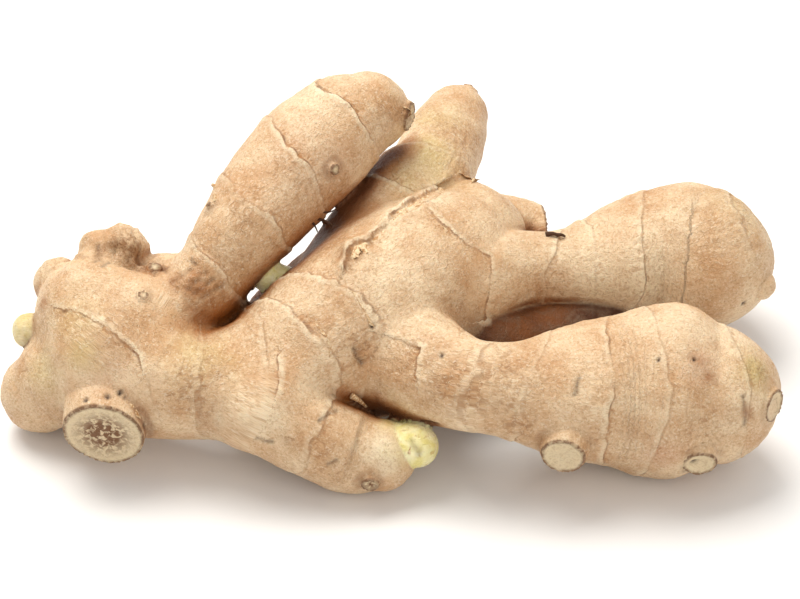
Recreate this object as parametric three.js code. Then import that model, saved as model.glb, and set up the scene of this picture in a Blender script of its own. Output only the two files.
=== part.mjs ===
// A hand of ginger: one knobbly rhizome lying on a flat surface. Millimetres, +Z up.
//
// The rhizome grew as one piece, so it is one closed solid. It is a trunk with fat fingers, knobs and
// stubs, and each of them is a limb: a bent centre line with a radius at each point. A field gives each
// point of space its distance outside the skin, limbs melt into each other near their roots, and node
// rings, cut faces and lumps are raised from the same field by formulas. The skin is then traced as a
// closed triangle mesh, and edges that add nothing to its shape are collapsed.
//
// +X runs along the hand to the two long fingers, -Y is the front with the short sprouting finger, and the
// origin is on the surface that the hand lies on, under the middle of its outline.
import * as THREE from "three";

// The limbs' centre lines are laid out from this point, which is under the middle of the hand.
const LAYOUT_CENTRE = [-1.37, 11.11];

// How finely the skin is traced, and how many triangles are left of it.
const TRACE_CELL = 1.25;
const TRIANGLE_TARGET = 10000;

// A node ring is the scar of a scale leaf: a raised lip with a shallow groove on its tip side. It wanders
// as it goes round: waves lists [waves in one turn, height, how fast they shift from ring to ring].
const RING = {
  lip: 0.72,
  lipWidth: 1.25,
  groove: 0.4,
  grooveWidth: 1.3,
  grooveAt: 2.3,
  waves: [[3, 0.5, 1], [5, 0.3, 2]],
};

// The slow unevenness of the skin, as on anything that grew among stones: small lumps and long swells.
const LUMP = { height: 0.35, x: 4.7, y: 5.3, z: 4.9 };
const SWELL = { height: 0.3, level: 7.9, slope: 8.7 };

// Every limb: line lists [x, y, z, radius]; melt is how softly its root flows into its parent, and
// meltLength how far along it that fades; rings lists [distance along, lean of the ring's top, lean of
// its left side]; cut is the outward direction of a flat end, and dish how far the middle of that end has
// sunk.
const LIMBS = [
  {
    name: "trunk",
    line: [
      [-50.5, -19.5, 17, 10],
      [-39.5, -22, 17, 10.5],
      [-28, -19.5, 18.5, 12],
      [-15, -12.5, 21.5, 15.5],
      [-3, -2.5, 24, 17],
      [8.5, 9, 25, 15.5],
      [15, 17, 25, 11.5],
    ],
    rings: [
      [2, -0.1, -0.3],
      [12, 0, 0],
      [23, 0.15, 0.15],
      [28, 0.35, -0.3],
      [33.5, 0.5, -0.35],
      [60.5, 0.4, -0.3],
    ],
  },
  {
    name: "crown",
    line: [[-47.5, -19.5, 18, 9.5], [-57, -15, 22, 12.5], [-61.5, -9.5, 24.5, 12]],
    melt: 8,
    meltLength: 14,
    rings: [],
  },
  {
    name: "knob",
    line: [[-58, -5.5, 26, 9.5], [-59, -1, 29.5, 7.6], [-57.3, 1.5, 32.2, 6]],
    melt: 5,
    meltLength: 8,
    rings: [],
  },
  {
    name: "knob_edge",
    line: [[-60, -2, 28, 6], [-61.4, 1.5, 33.4, 4.2]],
    melt: 3,
    meltLength: 6,
    rings: [],
  },
  {
    name: "heel",
    line: [[-60, -16, 18, 12], [-68, -14.5, 13, 10.5], [-73.4, -14, 8.8, 8.4]],
    melt: 7,
    meltLength: 12,
    rings: [[12, 0, 0]],
  },
  {
    name: "shoulder",
    line: [[-50.5, -10.5, 25, 9], [-50, -2, 27.8, 5.2], [-45.5, -1, 29, 4.2]],
    melt: 5,
    meltLength: 14,
    rings: [],
  },
  {
    name: "left_lump",
    line: [[-66, -5, 24, 8], [-70, 0.5, 25.5, 5.2]],
    melt: 6,
    meltLength: 10,
    rings: [],
  },
  {
    name: "left_bud",
    line: [[-70, -9, 20.5, 3.6], [-75.6, -8, 21, 3.1], [-76.2, -8, 19.6, 3]],
    melt: 1.5,
    meltLength: 6,
    rings: [],
  },
  {
    name: "front_stub",
    line: [[-58.5, -20, 17, 9], [-59.2, -33, 13.4, 8]],
    melt: 5,
    meltLength: 8,
    rings: [],
    cut: [-0.1, -0.99, -0.1],
    dish: 0.6,
  },
  {
    name: "raised_finger",
    line: [
      [-46, -9, 26, 7.5],
      [-42, -7.5, 28.2, 7.8],
      [-37, -3, 32.6, 8],
      [-31.5, 3.2, 38.4, 9.8],
      [-22.4, 14.6, 43.8, 11.5],
      [-13.3, 24.6, 47.2, 11],
      [-6.4, 29.8, 48.2, 8.4],
    ],
    melt: 3,
    meltLength: 9,
    rings: [[13.3, 0, 0.35], [26.6, -0.1, 0.25], [39.3, 0, 0.35], [56.8, -0.4, 0.15]],
  },
  {
    name: "back_finger",
    line: [
      [-14, 6, 20, 9],
      [-7, 13.5, 26.5, 9.8],
      [1, 25.8, 29, 10.2],
      [5.8, 33, 29.5, 9.4],
      [10, 47.3, 29, 8.6],
      [12, 56, 28.8, 7.3],
    ],
    melt: 5,
    meltLength: 25,
    rings: [[20, 0.2, 0], [36.3, -0.3, -0.3]],
  },
  {
    name: "side_stub",
    line: [[14, 22, 24, 8.5], [25.5, 25.5, 22.5, 5.8], [30.8, 23.6, 21.2, 4.4]],
    melt: 6,
    meltLength: 10,
    rings: [],
    cut: [0.95, 0.1, 0],
    dish: 0.5,
  },
  {
    name: "long_finger",
    line: [
      [4, 1, 23, 13],
      [14, 4, 24, 11.3],
      [25, 8, 23.5, 8.3],
      [34, 10.5, 21.8, 8.1],
      [42, 13.5, 20.5, 10.7],
      [50.5, 17.5, 20, 13.4],
      [59.5, 19, 19, 15.5],
      [64, 18, 19, 15],
    ],
    melt: 6,
    meltLength: 14,
    rings: [[28.7, 0, 0.5], [34.6, 0.2, 0.1], [46.8, 0.15, 0.35], [72.7, -0.3, -0.5]],
  },
  {
    name: "thick_finger",
    line: [
      [-2, -12, 19.2, 14],
      [6.5, -22, 21.5, 10.6],
      [13.5, -27.5, 22.2, 9.2],
      [21, -28.5, 21.5, 9.7],
      [32, -27, 19.5, 12.5],
      [43, -24, 17.5, 15.5],
      [54.5, -23.5, 17, 17.5],
      [62.6, -24, 16.5, 14],
    ],
    melt: 8,
    meltLength: 13,
    rings: [[26, -0.1, 0.25], [35, 0, 0.4], [51, -0.2, 0.4], [58, 0.15, -0.15], [76, 0, -0.3]],
  },
  {
    name: "belly_stub",
    line: [[33.5, -30, 16, 8], [32, -41.5, 15.2, 4.3]],
    melt: 5,
    meltLength: 8,
    rings: [],
    cut: [-0.15, -0.97, -0.12],
    dish: 0.4,
  },
  {
    name: "sprouting_finger",
    line: [[-26.5, -29, 17, 9], [-18, -31, 12.5, 8.5], [-10, -32, 8.5, 8.7], [-4, -33.5, 8.2, 7]],
    melt: 7,
    meltLength: 14,
    rings: [[10, 0, 0]],
  },
  {
    name: "sprout",
    line: [[-3, -32.5, 10, 4.2], [3.4, -33.5, 11, 4]],
    melt: 2,
    meltLength: 4,
    rings: [],
  },
  {
    name: "foot",
    line: [[-5, -2, 14, 13], [-4, 12, 9.2, 10]],
    melt: 6,
    meltLength: 14,
    rings: [],
  },
  {
    name: "web",
    line: [[6, -4, 16, 12], [20, -3, 13, 8.5], [33, 1, 12, 7], [42, 6, 12, 6]],
    melt: 6,
    meltLength: 14,
    rings: [],
  },
  {
    name: "flank",
    line: [[-27, -8, 17, 8], [-22, 3, 16.5, 8.3], [-14, 9, 19, 9]],
    melt: 5,
    meltLength: 10,
    rings: [],
  },
  {
    name: "rear_knob",
    line: [[-60, -4, 17, 8], [-61, 5, 12, 6.5]],
    melt: 5,
    meltLength: 10,
    rings: [[6, 0, 0]],
  },
  {
    name: "rear_stub",
    line: [[54, 20, 16, 8], [55, 34, 14, 5.8]],
    melt: 5,
    meltLength: 12,
    rings: [],
    cut: [0.1, 1, -0.1],
    dish: 0.5,
  },
  {
    name: "long_finger_tip",
    line: [[71, 13.5, 18, 5.5], [75.8, 10.8, 17.4, 3.2]],
    melt: 3,
    meltLength: 5,
    rings: [],
  },
  {
    name: "yellow_bud",
    line: [[-30, 0, 33, 3], [-27, -2, 29.8, 3.4], [-23.6, -3, 29, 3.1]],
    melt: 1.5,
    meltLength: 5,
    rings: [],
  },
];

// The small round scars where a root or a side shoot broke off: [x, y, z], outward direction, radius.
// They stand a little proud of the skin, and their cut face has sunk.
const SCARS = [
  { name: "raised_finger_eye", at: [-13.3, 8.6, 48.8], out: [0.57, -0.74, 0.37], radius: 1.5 },
  { name: "raised_finger_tip", at: [1.2, 27.6, 48.8], out: [0.94, -0.34, 0], radius: 3 },
  { name: "raised_finger_nub", at: [-38.4, 1.6, 45.2], out: [-0.76, -0.38, 0.53], radius: 0.9 },
  { name: "thick_finger_scar", at: [59.3, -38.6, 12], out: [0.05, -0.95, -0.28], radius: 3.3 },
  { name: "thick_finger_tip", at: [74, -30.4, 19], out: [0.82, -0.57, 0.08], radius: 3.6 },
  { name: "sprouting_finger_scar", at: [-6, -40, 7], out: [0, -0.98, -0.18], radius: 2 },
  { name: "crown_eye", at: [-51.4, -14.9, 34], out: [0.1, -0.15, 0.98], radius: 1.1 },
  { name: "knob_eye", at: [-50.1, -6, 33.8], out: [0.38, 0.1, 0.92], radius: 0.9 },
  { name: "back_finger_tip", at: [15, 62.8, 30.7], out: [0.4, 0.87, 0.29], radius: 1.8 },
  { name: "long_finger_root_scar", at: [70, 31.3, 13.6], out: [0.4, 0.85, -0.35], radius: 2.4 },
  { name: "trunk_root_scar", at: [-30, -13.5, 8.1], out: [0, 0.5, -0.87], radius: 2.2 },
  { name: "thick_finger_root_scar", at: [51.7, -8.2, 9.9], out: [0.1, 0.9, -0.42], radius: 2.4 },
  { name: "raised_finger_root_scar", at: [-29.3, 20.4, 36.7], out: [-0.6, 0.5, -0.62], radius: 2 },
];
const SCAR = { root: 3, proud: 1.1, flare: 1.35, dish: 0.22, melt: 1 };

// A centre line is bent in this many steps between two of its points. Limbs are measured exactly only
// where the skin is nearer than NEAR_SKIN, and even far from its root a limb melts into what it crosses
// by LEAST_MELT.
const CURVE_STEPS = 6;
const FAR = 1e3;
const NEAR_SKIN = 6;
const LEAST_MELT = 0.6;

// A point on a Catmull-Rom curve through the points of a centre line, radius included.
function curvePoint(a, b, c, d, t) {
  return b.map((_, i) => 0.5 * (2 * b[i] + (c[i] - a[i]) * t
    + (2 * a[i] - 5 * b[i] + 4 * c[i] - d[i]) * t * t
    + (3 * b[i] - a[i] - 3 * c[i] + d[i]) * t ** 3));
}

function smoothLine(line) {
  const at = (i) => line[Math.min(Math.max(i, 0), line.length - 1)];
  const points = [];
  for (let i = 0; i < line.length - 1; i++) {
    for (let s = 0; s < CURVE_STEPS; s++) {
      points.push(curvePoint(at(i - 1), at(i), at(i + 1), at(i + 2), s / CURVE_STEPS));
    }
  }
  points.push(at(line.length - 1));
  return points.map(([x, y, z, r]) => ({
    place: new THREE.Vector3(x - LAYOUT_CENTRE[0], y - LAYOUT_CENTRE[1], z),
    radius: r,
  }));
}

function preparedLimb(limb) {
  const points = smoothLine(limb.line);
  let along = 0;
  const spans = points.slice(1).map((end, i) => {
    const start = points[i];
    const step = end.place.clone().sub(start.place);
    const length = step.length();
    const isLast = i === points.length - 2;
    const grow = end.radius - start.radius;
    const span = { start: start.place, step, length, along, radius: start.radius, grow, isLast };
    along += length;
    return span;
  });
  const first = points[0].place;
  const last = points[points.length - 1].place;
  const run = last.clone().sub(first).normalize();
  const side = new THREE.Vector3(0, 0, 1).cross(run).normalize();
  const top = run.clone().cross(side);
  const widest = Math.max(...points.map((p) => p.radius));
  const box = new THREE.Box3().setFromPoints(points.map((p) => p.place)).expandByScalar(widest);
  const cut = limb.cut && new THREE.Vector3(...limb.cut).normalize();
  return { ...limb, spans, side, top, box, last, cut, endRadius: points[points.length - 1].radius };
}

function scarLimb({ name, at, out, radius }) {
  const end = (far) => at.map((coordinate, i) => coordinate + far * out[i]);
  return {
    name,
    line: [[...end(-SCAR.root), radius * SCAR.flare], [...end(SCAR.proud), radius]],
    melt: SCAR.melt,
    meltLength: SCAR.root,
    rings: [],
    cut: out,
    dish: SCAR.dish * radius,
  };
}

const limbs = [...LIMBS, ...SCARS.map(scarLimb)].map(preparedLimb);

const bump = (x) => Math.exp(-x * x);
const ramp = (t) => {
  const s = Math.min(Math.max(t, 0), 1);
  return s * s * (3 - 2 * s);
};

// How far the rings of a limb stand out at a distance along it, and to the side and the top of its centre
// line.
function ringRelief(limb, along, toSide, toTop) {
  const turn = Math.atan2(toSide, toTop);
  let raised = 0;
  for (const [at, leanTop, leanSide] of limb.rings) {
    let past = along - at - leanTop * toTop - leanSide * toSide;
    for (const [count, height, shift] of RING.waves) past += height * Math.sin(count * turn + shift * at);
    raised += RING.lip * bump(past / RING.lipWidth);
    raised -= RING.groove * bump((past - RING.grooveAt) / RING.grooveWidth);
  }
  return raised;
}

const offset = new THREE.Vector3();
const toPoint = new THREE.Vector3();

// The distance from a point to a limb's skin, and how softly the limb melts into its parent there.
function limbDistance(limb, point) {
  const beyond = limb.box.distanceToPoint(point);
  if (beyond > NEAR_SKIN) return { distance: beyond, melt: 0 };
  let nearest = FAR ** 2;
  let along = 0;
  let radius = 0;
  for (const span of limb.spans) {
    toPoint.copy(point).sub(span.start);
    const reached = toPoint.dot(span.step) / span.length ** 2;
    const t = Math.min(Math.max(reached, 0), 1);
    toPoint.addScaledVector(span.step, -t);
    const away = toPoint.lengthSq();
    if (away < nearest) {
      nearest = away;
      along = span.along + (span.isLast ? Math.max(reached, 0) : t) * span.length;
      radius = span.radius + t * span.grow;
      offset.copy(toPoint);
    }
  }
  const relief = ringRelief(limb, along, offset.dot(limb.side), offset.dot(limb.top));
  let best = Math.sqrt(nearest) - radius - relief;
  if (limb.cut) {
    toPoint.copy(point).sub(limb.last);
    const out = toPoint.dot(limb.cut);
    const fromMiddle = Math.sqrt(Math.max(toPoint.lengthSq() - out * out, 0)) / limb.endRadius;
    best = Math.max(best, out + limb.dish * Math.max(0, 1 - fromMiddle ** 2));
  }
  const melt = limb.melt ? limb.melt * (1 - ramp(along / limb.meltLength)) + LEAST_MELT : 0;
  return { distance: best, melt };
}

function melted(a, b, softness) {
  const h = Math.max(softness - Math.abs(a - b), 0) / softness;
  return Math.min(a, b) - h * h * softness / 4;
}

function lumps({ x, y, z }) {
  const lump = Math.sin(x / LUMP.x + 1) * Math.sin(y / LUMP.y) * Math.sin(z / LUMP.z + 2);
  const swell = Math.sin((x + y) / SWELL.level) * Math.sin((z - x) / SWELL.slope + 1);
  return LUMP.height * lump + SWELL.height * swell;
}

function skinDistance(point) {
  let distance = FAR;
  for (const limb of limbs) {
    const own = limbDistance(limb, point);
    distance = own.melt > 0 ? melted(distance, own.distance, own.melt) : Math.min(distance, own.distance);
  }
  return Math.max(distance - lumps(point), -point.z);
}

// The lattice reaches a little past the skin on every side, and a vertex keeps a small share of its
// lattice edge to either end of it, so that no triangle is a point.
const LATTICE_MARGIN = 3 * TRACE_CELL;
const LATTICE_FLOOR = -1.5 * TRACE_CELL;
const END_SHARE = 0.02;

// Traces the skin on a lattice whose cubes are split into six tetrahedra each, which always gives a
// closed mesh.
function tracedSkin() {
  const box = new THREE.Box3();
  limbs.forEach((limb) => box.union(limb.box));
  box.expandByScalar(LATTICE_MARGIN);
  box.min.z = LATTICE_FLOOR;
  const count = box.getSize(new THREE.Vector3()).divideScalar(TRACE_CELL).ceil().addScalar(1);
  const [nx, ny, nz] = count.toArray();
  const index = (i, j, k) => i + nx * (j + ny * k);
  const point = new THREE.Vector3();
  const place = (n) => point.set(n % nx, Math.floor(n / nx) % ny, Math.floor(n / (nx * ny)))
    .multiplyScalar(TRACE_CELL).add(box.min);
  const value = new Float64Array(nx * ny * nz);
  for (let n = 0; n < value.length; n++) value[n] = skinDistance(place(n));

  const corners = [[0, 0, 0], [1, 0, 0], [0, 1, 0], [1, 1, 0], [0, 0, 1], [1, 0, 1], [0, 1, 1], [1, 1, 1]];
  const tetrahedra = [[0, 1, 3, 7], [0, 3, 2, 7], [0, 2, 6, 7], [0, 6, 4, 7], [0, 4, 5, 7], [0, 5, 1, 7]];
  const positions = [];
  const faces = [];
  const made = new Map();
  const crossing = (a, b) => {
    const key = Math.min(a, b) * value.length + Math.max(a, b);
    if (!made.has(key)) {
      const start = place(a).clone();
      const t = value[a] / (value[a] - value[b]);
      const share = Math.min(Math.max(t, END_SHARE), 1 - END_SHARE);
      made.set(key, positions.push(start.lerp(place(b), share)) - 1);
    }
    return made.get(key);
  };
  const traceCube = (i, j, k) => {
    const cube = corners.map(([a, b, c]) => index(i + a, j + b, k + c));
    const inside = cube.filter((n) => value[n] < 0).length;
    if (inside === 0 || inside === cube.length) return;
    for (const tetrahedron of tetrahedra) {
      const [a, b, c, d] = tetrahedron.map((n) => cube[n]);
      faces.push(...tetrahedronFaces(a, b, c, d, value, crossing));
    }
  };
  for (let k = 0; k < nz - 1; k++) {
    for (let j = 0; j < ny - 1; j++) {
      for (let i = 0; i < nx - 1; i++) traceCube(i, j, k);
    }
  }
  return { positions, faces };
}

// The skin's one or two triangles in a positively turned tetrahedron abcd, facing out of the solid.
function tetrahedronFaces(a, b, c, d, value, crossing) {
  const evenOrders = [[a, b, c, d], [b, a, d, c], [c, d, a, b], [d, c, b, a]];
  const pairOrders = [[a, b, c, d], [a, c, d, b], [a, d, b, c], [c, d, a, b], [d, b, a, c], [b, c, a, d]];
  const isIn = (n) => value[n] < 0;
  const insideCount = [a, b, c, d].filter(isIn).length;
  if (insideCount === 0 || insideCount === 4) return [];
  if (insideCount === 2) {
    const [p, q, r, s] = pairOrders.find(([m, n]) => isIn(m) && isIn(n));
    const [pr, ps, qs, qr] = [crossing(p, r), crossing(p, s), crossing(q, s), crossing(q, r)];
    return [[pr, ps, qs], [pr, qs, qr]];
  }
  const lone = insideCount === 1 ? isIn : (n) => !isIn(n);
  const [p, q, r, s] = evenOrders.find(([m]) => lone(m));
  const face = [crossing(p, q), crossing(p, r), crossing(p, s)];
  return [insideCount === 1 ? face : face.reverse()];
}

// How often the triangles are evened out, and how flat the skin round a vertex must be for it to move.
const EVENING_PASSES = 4;
const SHARP_EDGE = 0.9;

// Evens out the traced triangles: every vertex slides along the skin towards the middle of its
// neighbours, and is then set back onto the skin. Vertices on sharp edges stay.
function evened({ positions, faces }) {
  const edge = new THREE.Vector3();
  const normal = new THREE.Vector3();
  for (let pass = 0; pass < EVENING_PASSES; pass++) {
    const pulls = positions.map(() => new THREE.Vector3());
    const normals = positions.map(() => new THREE.Vector3());
    const counts = new Float64Array(positions.length);
    const areas = new Float64Array(positions.length);
    for (const face of faces) {
      const [a, b, c] = face.map((v) => positions[v]);
      normal.crossVectors(edge.subVectors(b, a), new THREE.Vector3().subVectors(c, a));
      face.forEach((v, i) => {
        normals[v].add(normal);
        pulls[v].add(positions[face[(i + 1) % 3]]).sub(positions[v]);
        counts[v]++;
        areas[v] += normal.length();
      });
    }
    positions.forEach((p, v) => {
      const flatness = normals[v].length() / areas[v];
      const freedom = ramp((flatness - SHARP_EDGE) / (1 - SHARP_EDGE));
      const pull = pulls[v].multiplyScalar(freedom / counts[v]);
      p.add(pull.projectOnPlane(normals[v].normalize()));
      p.addScaledVector(normals[v], -skinDistance(p) * freedom);
    });
  }
  return { positions, faces };
}

// The sum of squared distances to planes, as the ten numbers of a symmetric 4 by 4 matrix.
function planeQuadric(normal, constant, weight) {
  const n = [normal.x, normal.y, normal.z, constant];
  const terms = [];
  for (let i = 0; i < n.length; i++) {
    for (let j = i; j < n.length; j++) terms.push(n[i] * n[j] * weight);
  }
  return terms;
}

function quadricError(q, p) {
  const { x, y, z } = p;
  return q[0] * x * x + q[4] * y * y + q[7] * z * z + q[9]
    + 2 * (q[1] * x * y + q[2] * x * z + q[3] * x + q[5] * y * z + q[6] * y + q[8] * z);
}

const LEAST_CURVED = 1e-3;

// The point where the quadric is least, or null where it is flat.
function quadricLowest(q) {
  const m = new THREE.Matrix3().set(q[0], q[1], q[2], q[1], q[4], q[5], q[2], q[5], q[7]);
  const size = q[0] + q[4] + q[7];
  if (Math.abs(m.determinant()) < LEAST_CURVED * size ** 3) return null;
  return new THREE.Vector3(-q[3], -q[6], -q[8]).applyMatrix3(m.invert());
}

// A heap of edges with the cheapest on top.
class CheapestFirst {
  items = [];

  push(item) {
    const { items } = this;
    let i = items.push(item) - 1;
    while (i > 0) {
      const parent = (i - 1) >> 1;
      if (items[parent].cost <= item.cost) break;
      items[i] = items[parent];
      i = parent;
    }
    items[i] = item;
  }

  pop() {
    const { items } = this;
    const first = items[0];
    const item = items.pop();
    if (!items.length) return first;
    let i = 0;
    for (;;) {
      let child = 2 * i + 1;
      if (child >= items.length) break;
      if (child + 1 < items.length && items[child + 1].cost < items[child].cost) child++;
      if (items[child].cost >= item.cost) break;
      items[i] = items[child];
      i = child;
    }
    items[i] = item;
    return first;
  }
}

// Long edges cost a little more than short ones. A collapse may turn a triangle so far and make it so
// slender, and edges that were refused are offered again in the next round.
const LONG_EDGE_COST = 2e-3;
const LEAST_TURN = 0.35;
const LEAST_SHAPE = 0.04;
const MOST_ROUNDS = 6;

// Collapses the edges that matter least to the shape until the mesh has no more than so many triangles.
function collapsedSkin({ positions, faces }, most) {
  const facesAt = positions.map(() => new Set());
  faces.forEach((face, f) => face.forEach((v) => facesAt[v].add(f)));
  const quadrics = positions.map(() => new Array(10).fill(0));
  const triangle = new THREE.Triangle();
  const normal = new THREE.Vector3();
  for (const face of faces) {
    triangle.set(...face.map((v) => positions[v]));
    triangle.getNormal(normal);
    const q = planeQuadric(normal, -normal.dot(triangle.a), triangle.getArea());
    for (const v of face) quadrics[v] = quadrics[v].map((term, i) => term + q[i]);
  }
  const age = new Uint32Array(positions.length);
  const queue = new CheapestFirst();
  const neighbours = (v) => new Set([...facesAt[v]].flatMap((f) => faces[f]).filter((n) => n !== v));
  const offer = (a, b) => {
    const q = quadrics[a].map((term, i) => term + quadrics[b][i]);
    const middle = positions[a].clone().add(positions[b]).multiplyScalar(0.5);
    const lowest = quadricLowest(q);
    const length = positions[a].distanceTo(positions[b]);
    const choices = [middle, positions[a], positions[b]];
    if (lowest && lowest.distanceTo(middle) < length) choices.unshift(lowest);
    const errors = choices.map((p) => quadricError(q, p));
    const best = errors.indexOf(Math.min(...errors));
    const cost = Math.max(errors[best], 0) + LONG_EDGE_COST * length ** 2;
    queue.push({ cost, a, b, place: choices[best].clone(), ages: [age[a], age[b]] });
  };
  const shapeOf = (corners) => {
    triangle.set(...corners);
    const sides = triangle.a.distanceToSquared(triangle.b) + triangle.b.distanceToSquared(triangle.c)
      + triangle.c.distanceToSquared(triangle.a);
    return triangle.getArea() / sides;
  };
  const staysSound = (v, gone, place) => [...facesAt[v]].every((f) => {
    if (faces[f].includes(gone)) return true;
    const corners = faces[f].map((n) => positions[n]);
    const shapeBefore = shapeOf(corners);
    const before = triangle.getNormal(new THREE.Vector3());
    const shapeAfter = shapeOf(faces[f].map((n) => (n === v ? place : positions[n])));
    const after = triangle.getNormal(normal);
    return before.dot(after) > LEAST_TURN && shapeAfter > Math.min(LEAST_SHAPE, shapeBefore);
  });
  const offerAll = () => faces.forEach((face) => {
    if (!face) return;
    const [a, b, c] = face;
    [[a, b], [b, c], [c, a]].filter(([m, n]) => m < n).forEach(([m, n]) => offer(m, n));
  });
  let left = faces.length;
  for (let round = 0; left > most && round < MOST_ROUNDS; round++) {
    queue.items.length = 0;
    offerAll();
    while (left > most && queue.items.length) {
      const { a, b, place, ages } = queue.pop();
      if (!facesAt[a] || !facesAt[b] || ages[0] !== age[a] || ages[1] !== age[b]) continue;
      const around = neighbours(a);
      const shared = [...neighbours(b)].filter((n) => around.has(n));
      if (shared.length !== 2 || !staysSound(a, b, place) || !staysSound(b, a, place)) continue;
      positions[a] = place;
      quadrics[a] = quadrics[a].map((term, i) => term + quadrics[b][i]);
      for (const f of facesAt[b]) {
        if (faces[f].includes(a)) {
          faces[f].filter((n) => n !== b).forEach((n) => facesAt[n].delete(f));
          faces[f] = null;
          left--;
        } else {
          faces[f] = faces[f].map((n) => (n === b ? a : n));
          facesAt[a].add(f);
        }
      }
      facesAt[b] = null;
      age[a]++;
      neighbours(a).forEach((n) => offer(a, n));
    }
  }
  return { positions, faces: faces.filter(Boolean) };
}

// Vertices this near the surface that the hand lies on are set on it, so that its flat spots are truly
// flat.
const FLOOR_SNAP = 0.08;

function geometryOf({ positions, faces }) {
  const geometry = new THREE.BufferGeometry();
  const onFloor = (z) => (z < FLOOR_SNAP ? 0 : z);
  geometry.setAttribute("position", new THREE.Float32BufferAttribute(
    positions.flatMap(({ x, y, z }) => [x, y, onFloor(z)]), 3));
  geometry.setIndex(faces.flat());
  geometry.computeVertexNormals();
  return geometry;
}

const skin = new THREE.MeshStandardMaterial({ color: 0xd9b287, roughness: 0.62, metalness: 0 });
const rhizome = new THREE.Mesh(geometryOf(collapsedSkin(evened(tracedSkin()), TRIANGLE_TARGET)), skin);
rhizome.name = "rhizome";

const hand = new THREE.Group();
hand.add(rhizome);
export default hand;
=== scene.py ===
# %% [markdown]
# A hand of ginger on a white table.
#
# A ginger root is a rhizome: a swollen underground stem. It grows as one piece, so this lesson makes one
# fine mesh of skin and then adds only what is loose on the real thing, such as rags of old scale leaves
# and hairs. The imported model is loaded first, because its node sets the size and the place of everything.

# %% Load the fixed frame
import math

import bpy
import numpy as np
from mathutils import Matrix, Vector


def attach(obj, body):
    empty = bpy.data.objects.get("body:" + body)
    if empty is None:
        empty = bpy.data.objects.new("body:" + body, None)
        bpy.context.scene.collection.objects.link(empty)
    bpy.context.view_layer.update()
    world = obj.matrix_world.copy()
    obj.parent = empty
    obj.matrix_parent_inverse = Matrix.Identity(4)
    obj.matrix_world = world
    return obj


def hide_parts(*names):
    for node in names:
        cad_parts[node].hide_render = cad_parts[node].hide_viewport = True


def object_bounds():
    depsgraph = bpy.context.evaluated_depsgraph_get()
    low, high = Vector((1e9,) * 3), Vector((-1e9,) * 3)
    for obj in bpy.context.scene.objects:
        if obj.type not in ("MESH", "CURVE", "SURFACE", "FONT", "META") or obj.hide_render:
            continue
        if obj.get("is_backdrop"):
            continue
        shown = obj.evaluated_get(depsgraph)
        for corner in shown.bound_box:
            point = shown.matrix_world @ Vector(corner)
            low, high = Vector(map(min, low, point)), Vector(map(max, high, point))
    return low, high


MM = 0.001
MM_PER_M = 1000

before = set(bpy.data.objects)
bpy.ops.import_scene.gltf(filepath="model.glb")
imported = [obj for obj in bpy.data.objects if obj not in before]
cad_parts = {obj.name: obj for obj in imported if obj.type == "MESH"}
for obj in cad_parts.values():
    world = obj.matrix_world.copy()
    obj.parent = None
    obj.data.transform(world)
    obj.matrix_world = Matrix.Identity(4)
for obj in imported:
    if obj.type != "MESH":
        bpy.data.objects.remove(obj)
cad_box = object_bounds()
cad_size = [round(MM_PER_M * (high - low), 1) for low, high in zip(*cad_box)]
print("nodes", sorted(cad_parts), "box in mm", cad_size)

# %% [markdown]
# Colours are written as sRGB hex values, as a colour picker shows them. Shaders work in linear light, so
# one function turns them.

# %% Colours
def from_hex(code):
    """A colour such as "#E2BE94" as linear red, green, blue and alpha."""
    channels = [int(code[i:i + 2], 16) / 255 for i in (1, 3, 5)]
    linear = [c / 12.92 if c <= 0.04045 else ((c + 0.055) / 1.055) ** 2.4 for c in channels]
    return (*linear, 1.0)


print("pale skin in linear light", [round(c, 3) for c in from_hex("#E2BE94")])

# %% [markdown]
# The picture was taken from in front and above, from far enough away that the near finger is hardly
# enlarged. A long lens at 62 cm gives that: 165 mm of the table's width fill the frame.

# %% Camera
CAMERA_DISTANCE = 620 * MM
CAMERA_ELEVATION = math.radians(38)
FRAME_WIDTH = 165 * MM
SENSOR_MM = 36
AIM = Vector((1.37, -11.11, 22)) * MM
NEAREST_SEEN = 10 * MM

camera_data = bpy.data.cameras.new("camera")
camera_data.lens = SENSOR_MM * CAMERA_DISTANCE / FRAME_WIDTH
camera_data.sensor_width = SENSOR_MM
camera_data.clip_start = NEAREST_SEEN
camera = bpy.data.objects.new("camera", camera_data)
back = Vector((0, -math.cos(CAMERA_ELEVATION), math.sin(CAMERA_ELEVATION)))
camera.location = AIM + CAMERA_DISTANCE * back
camera.rotation_euler = back.to_track_quat("Z", "Y").to_euler()
bpy.context.scene.collection.objects.link(camera)
bpy.context.scene.camera = camera
print("lens in mm", round(camera_data.lens, 1))

# %% [markdown]
# Every material below is built from nodes. One small function adds a node, sets its properties and fills
# its sockets, either with a value or with a link from another node. The sockets of a Math or Mix node share
# their names, so they are given by number: 0 of a Mix node is its share, 2 and 3 are its two numbers, and 6
# and 7 are its two colours.

# %% One function for all nodes
def add(tree, kind, sockets=None, **settings):
    """Adds a node of a kind. A socket's name or number is given a value, or an output to link to it."""
    node = tree.nodes.new(kind)
    for name, value in settings.items():
        setattr(node, name, value)
    for key, value in (sockets or {}).items():
        if isinstance(value, bpy.types.NodeSocket):
            tree.links.new(value, node.inputs[key])
        else:
            node.inputs[key].default_value = value
    return node


def new_material(name):
    """A material with an empty tree, and its output node."""
    material = bpy.data.materials.new(name)
    material.use_nodes = True
    tree = material.node_tree
    tree.nodes.clear()
    return material, tree, tree.nodes.new("ShaderNodeOutputMaterial")


# %% [markdown]
# The table is a sheet of white acrylic, as photographers use it: very pale, and glossy enough to show a
# faint reflection right under the ginger. It is large, so its edge never shows, and it is a stage, not a
# part.

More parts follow.
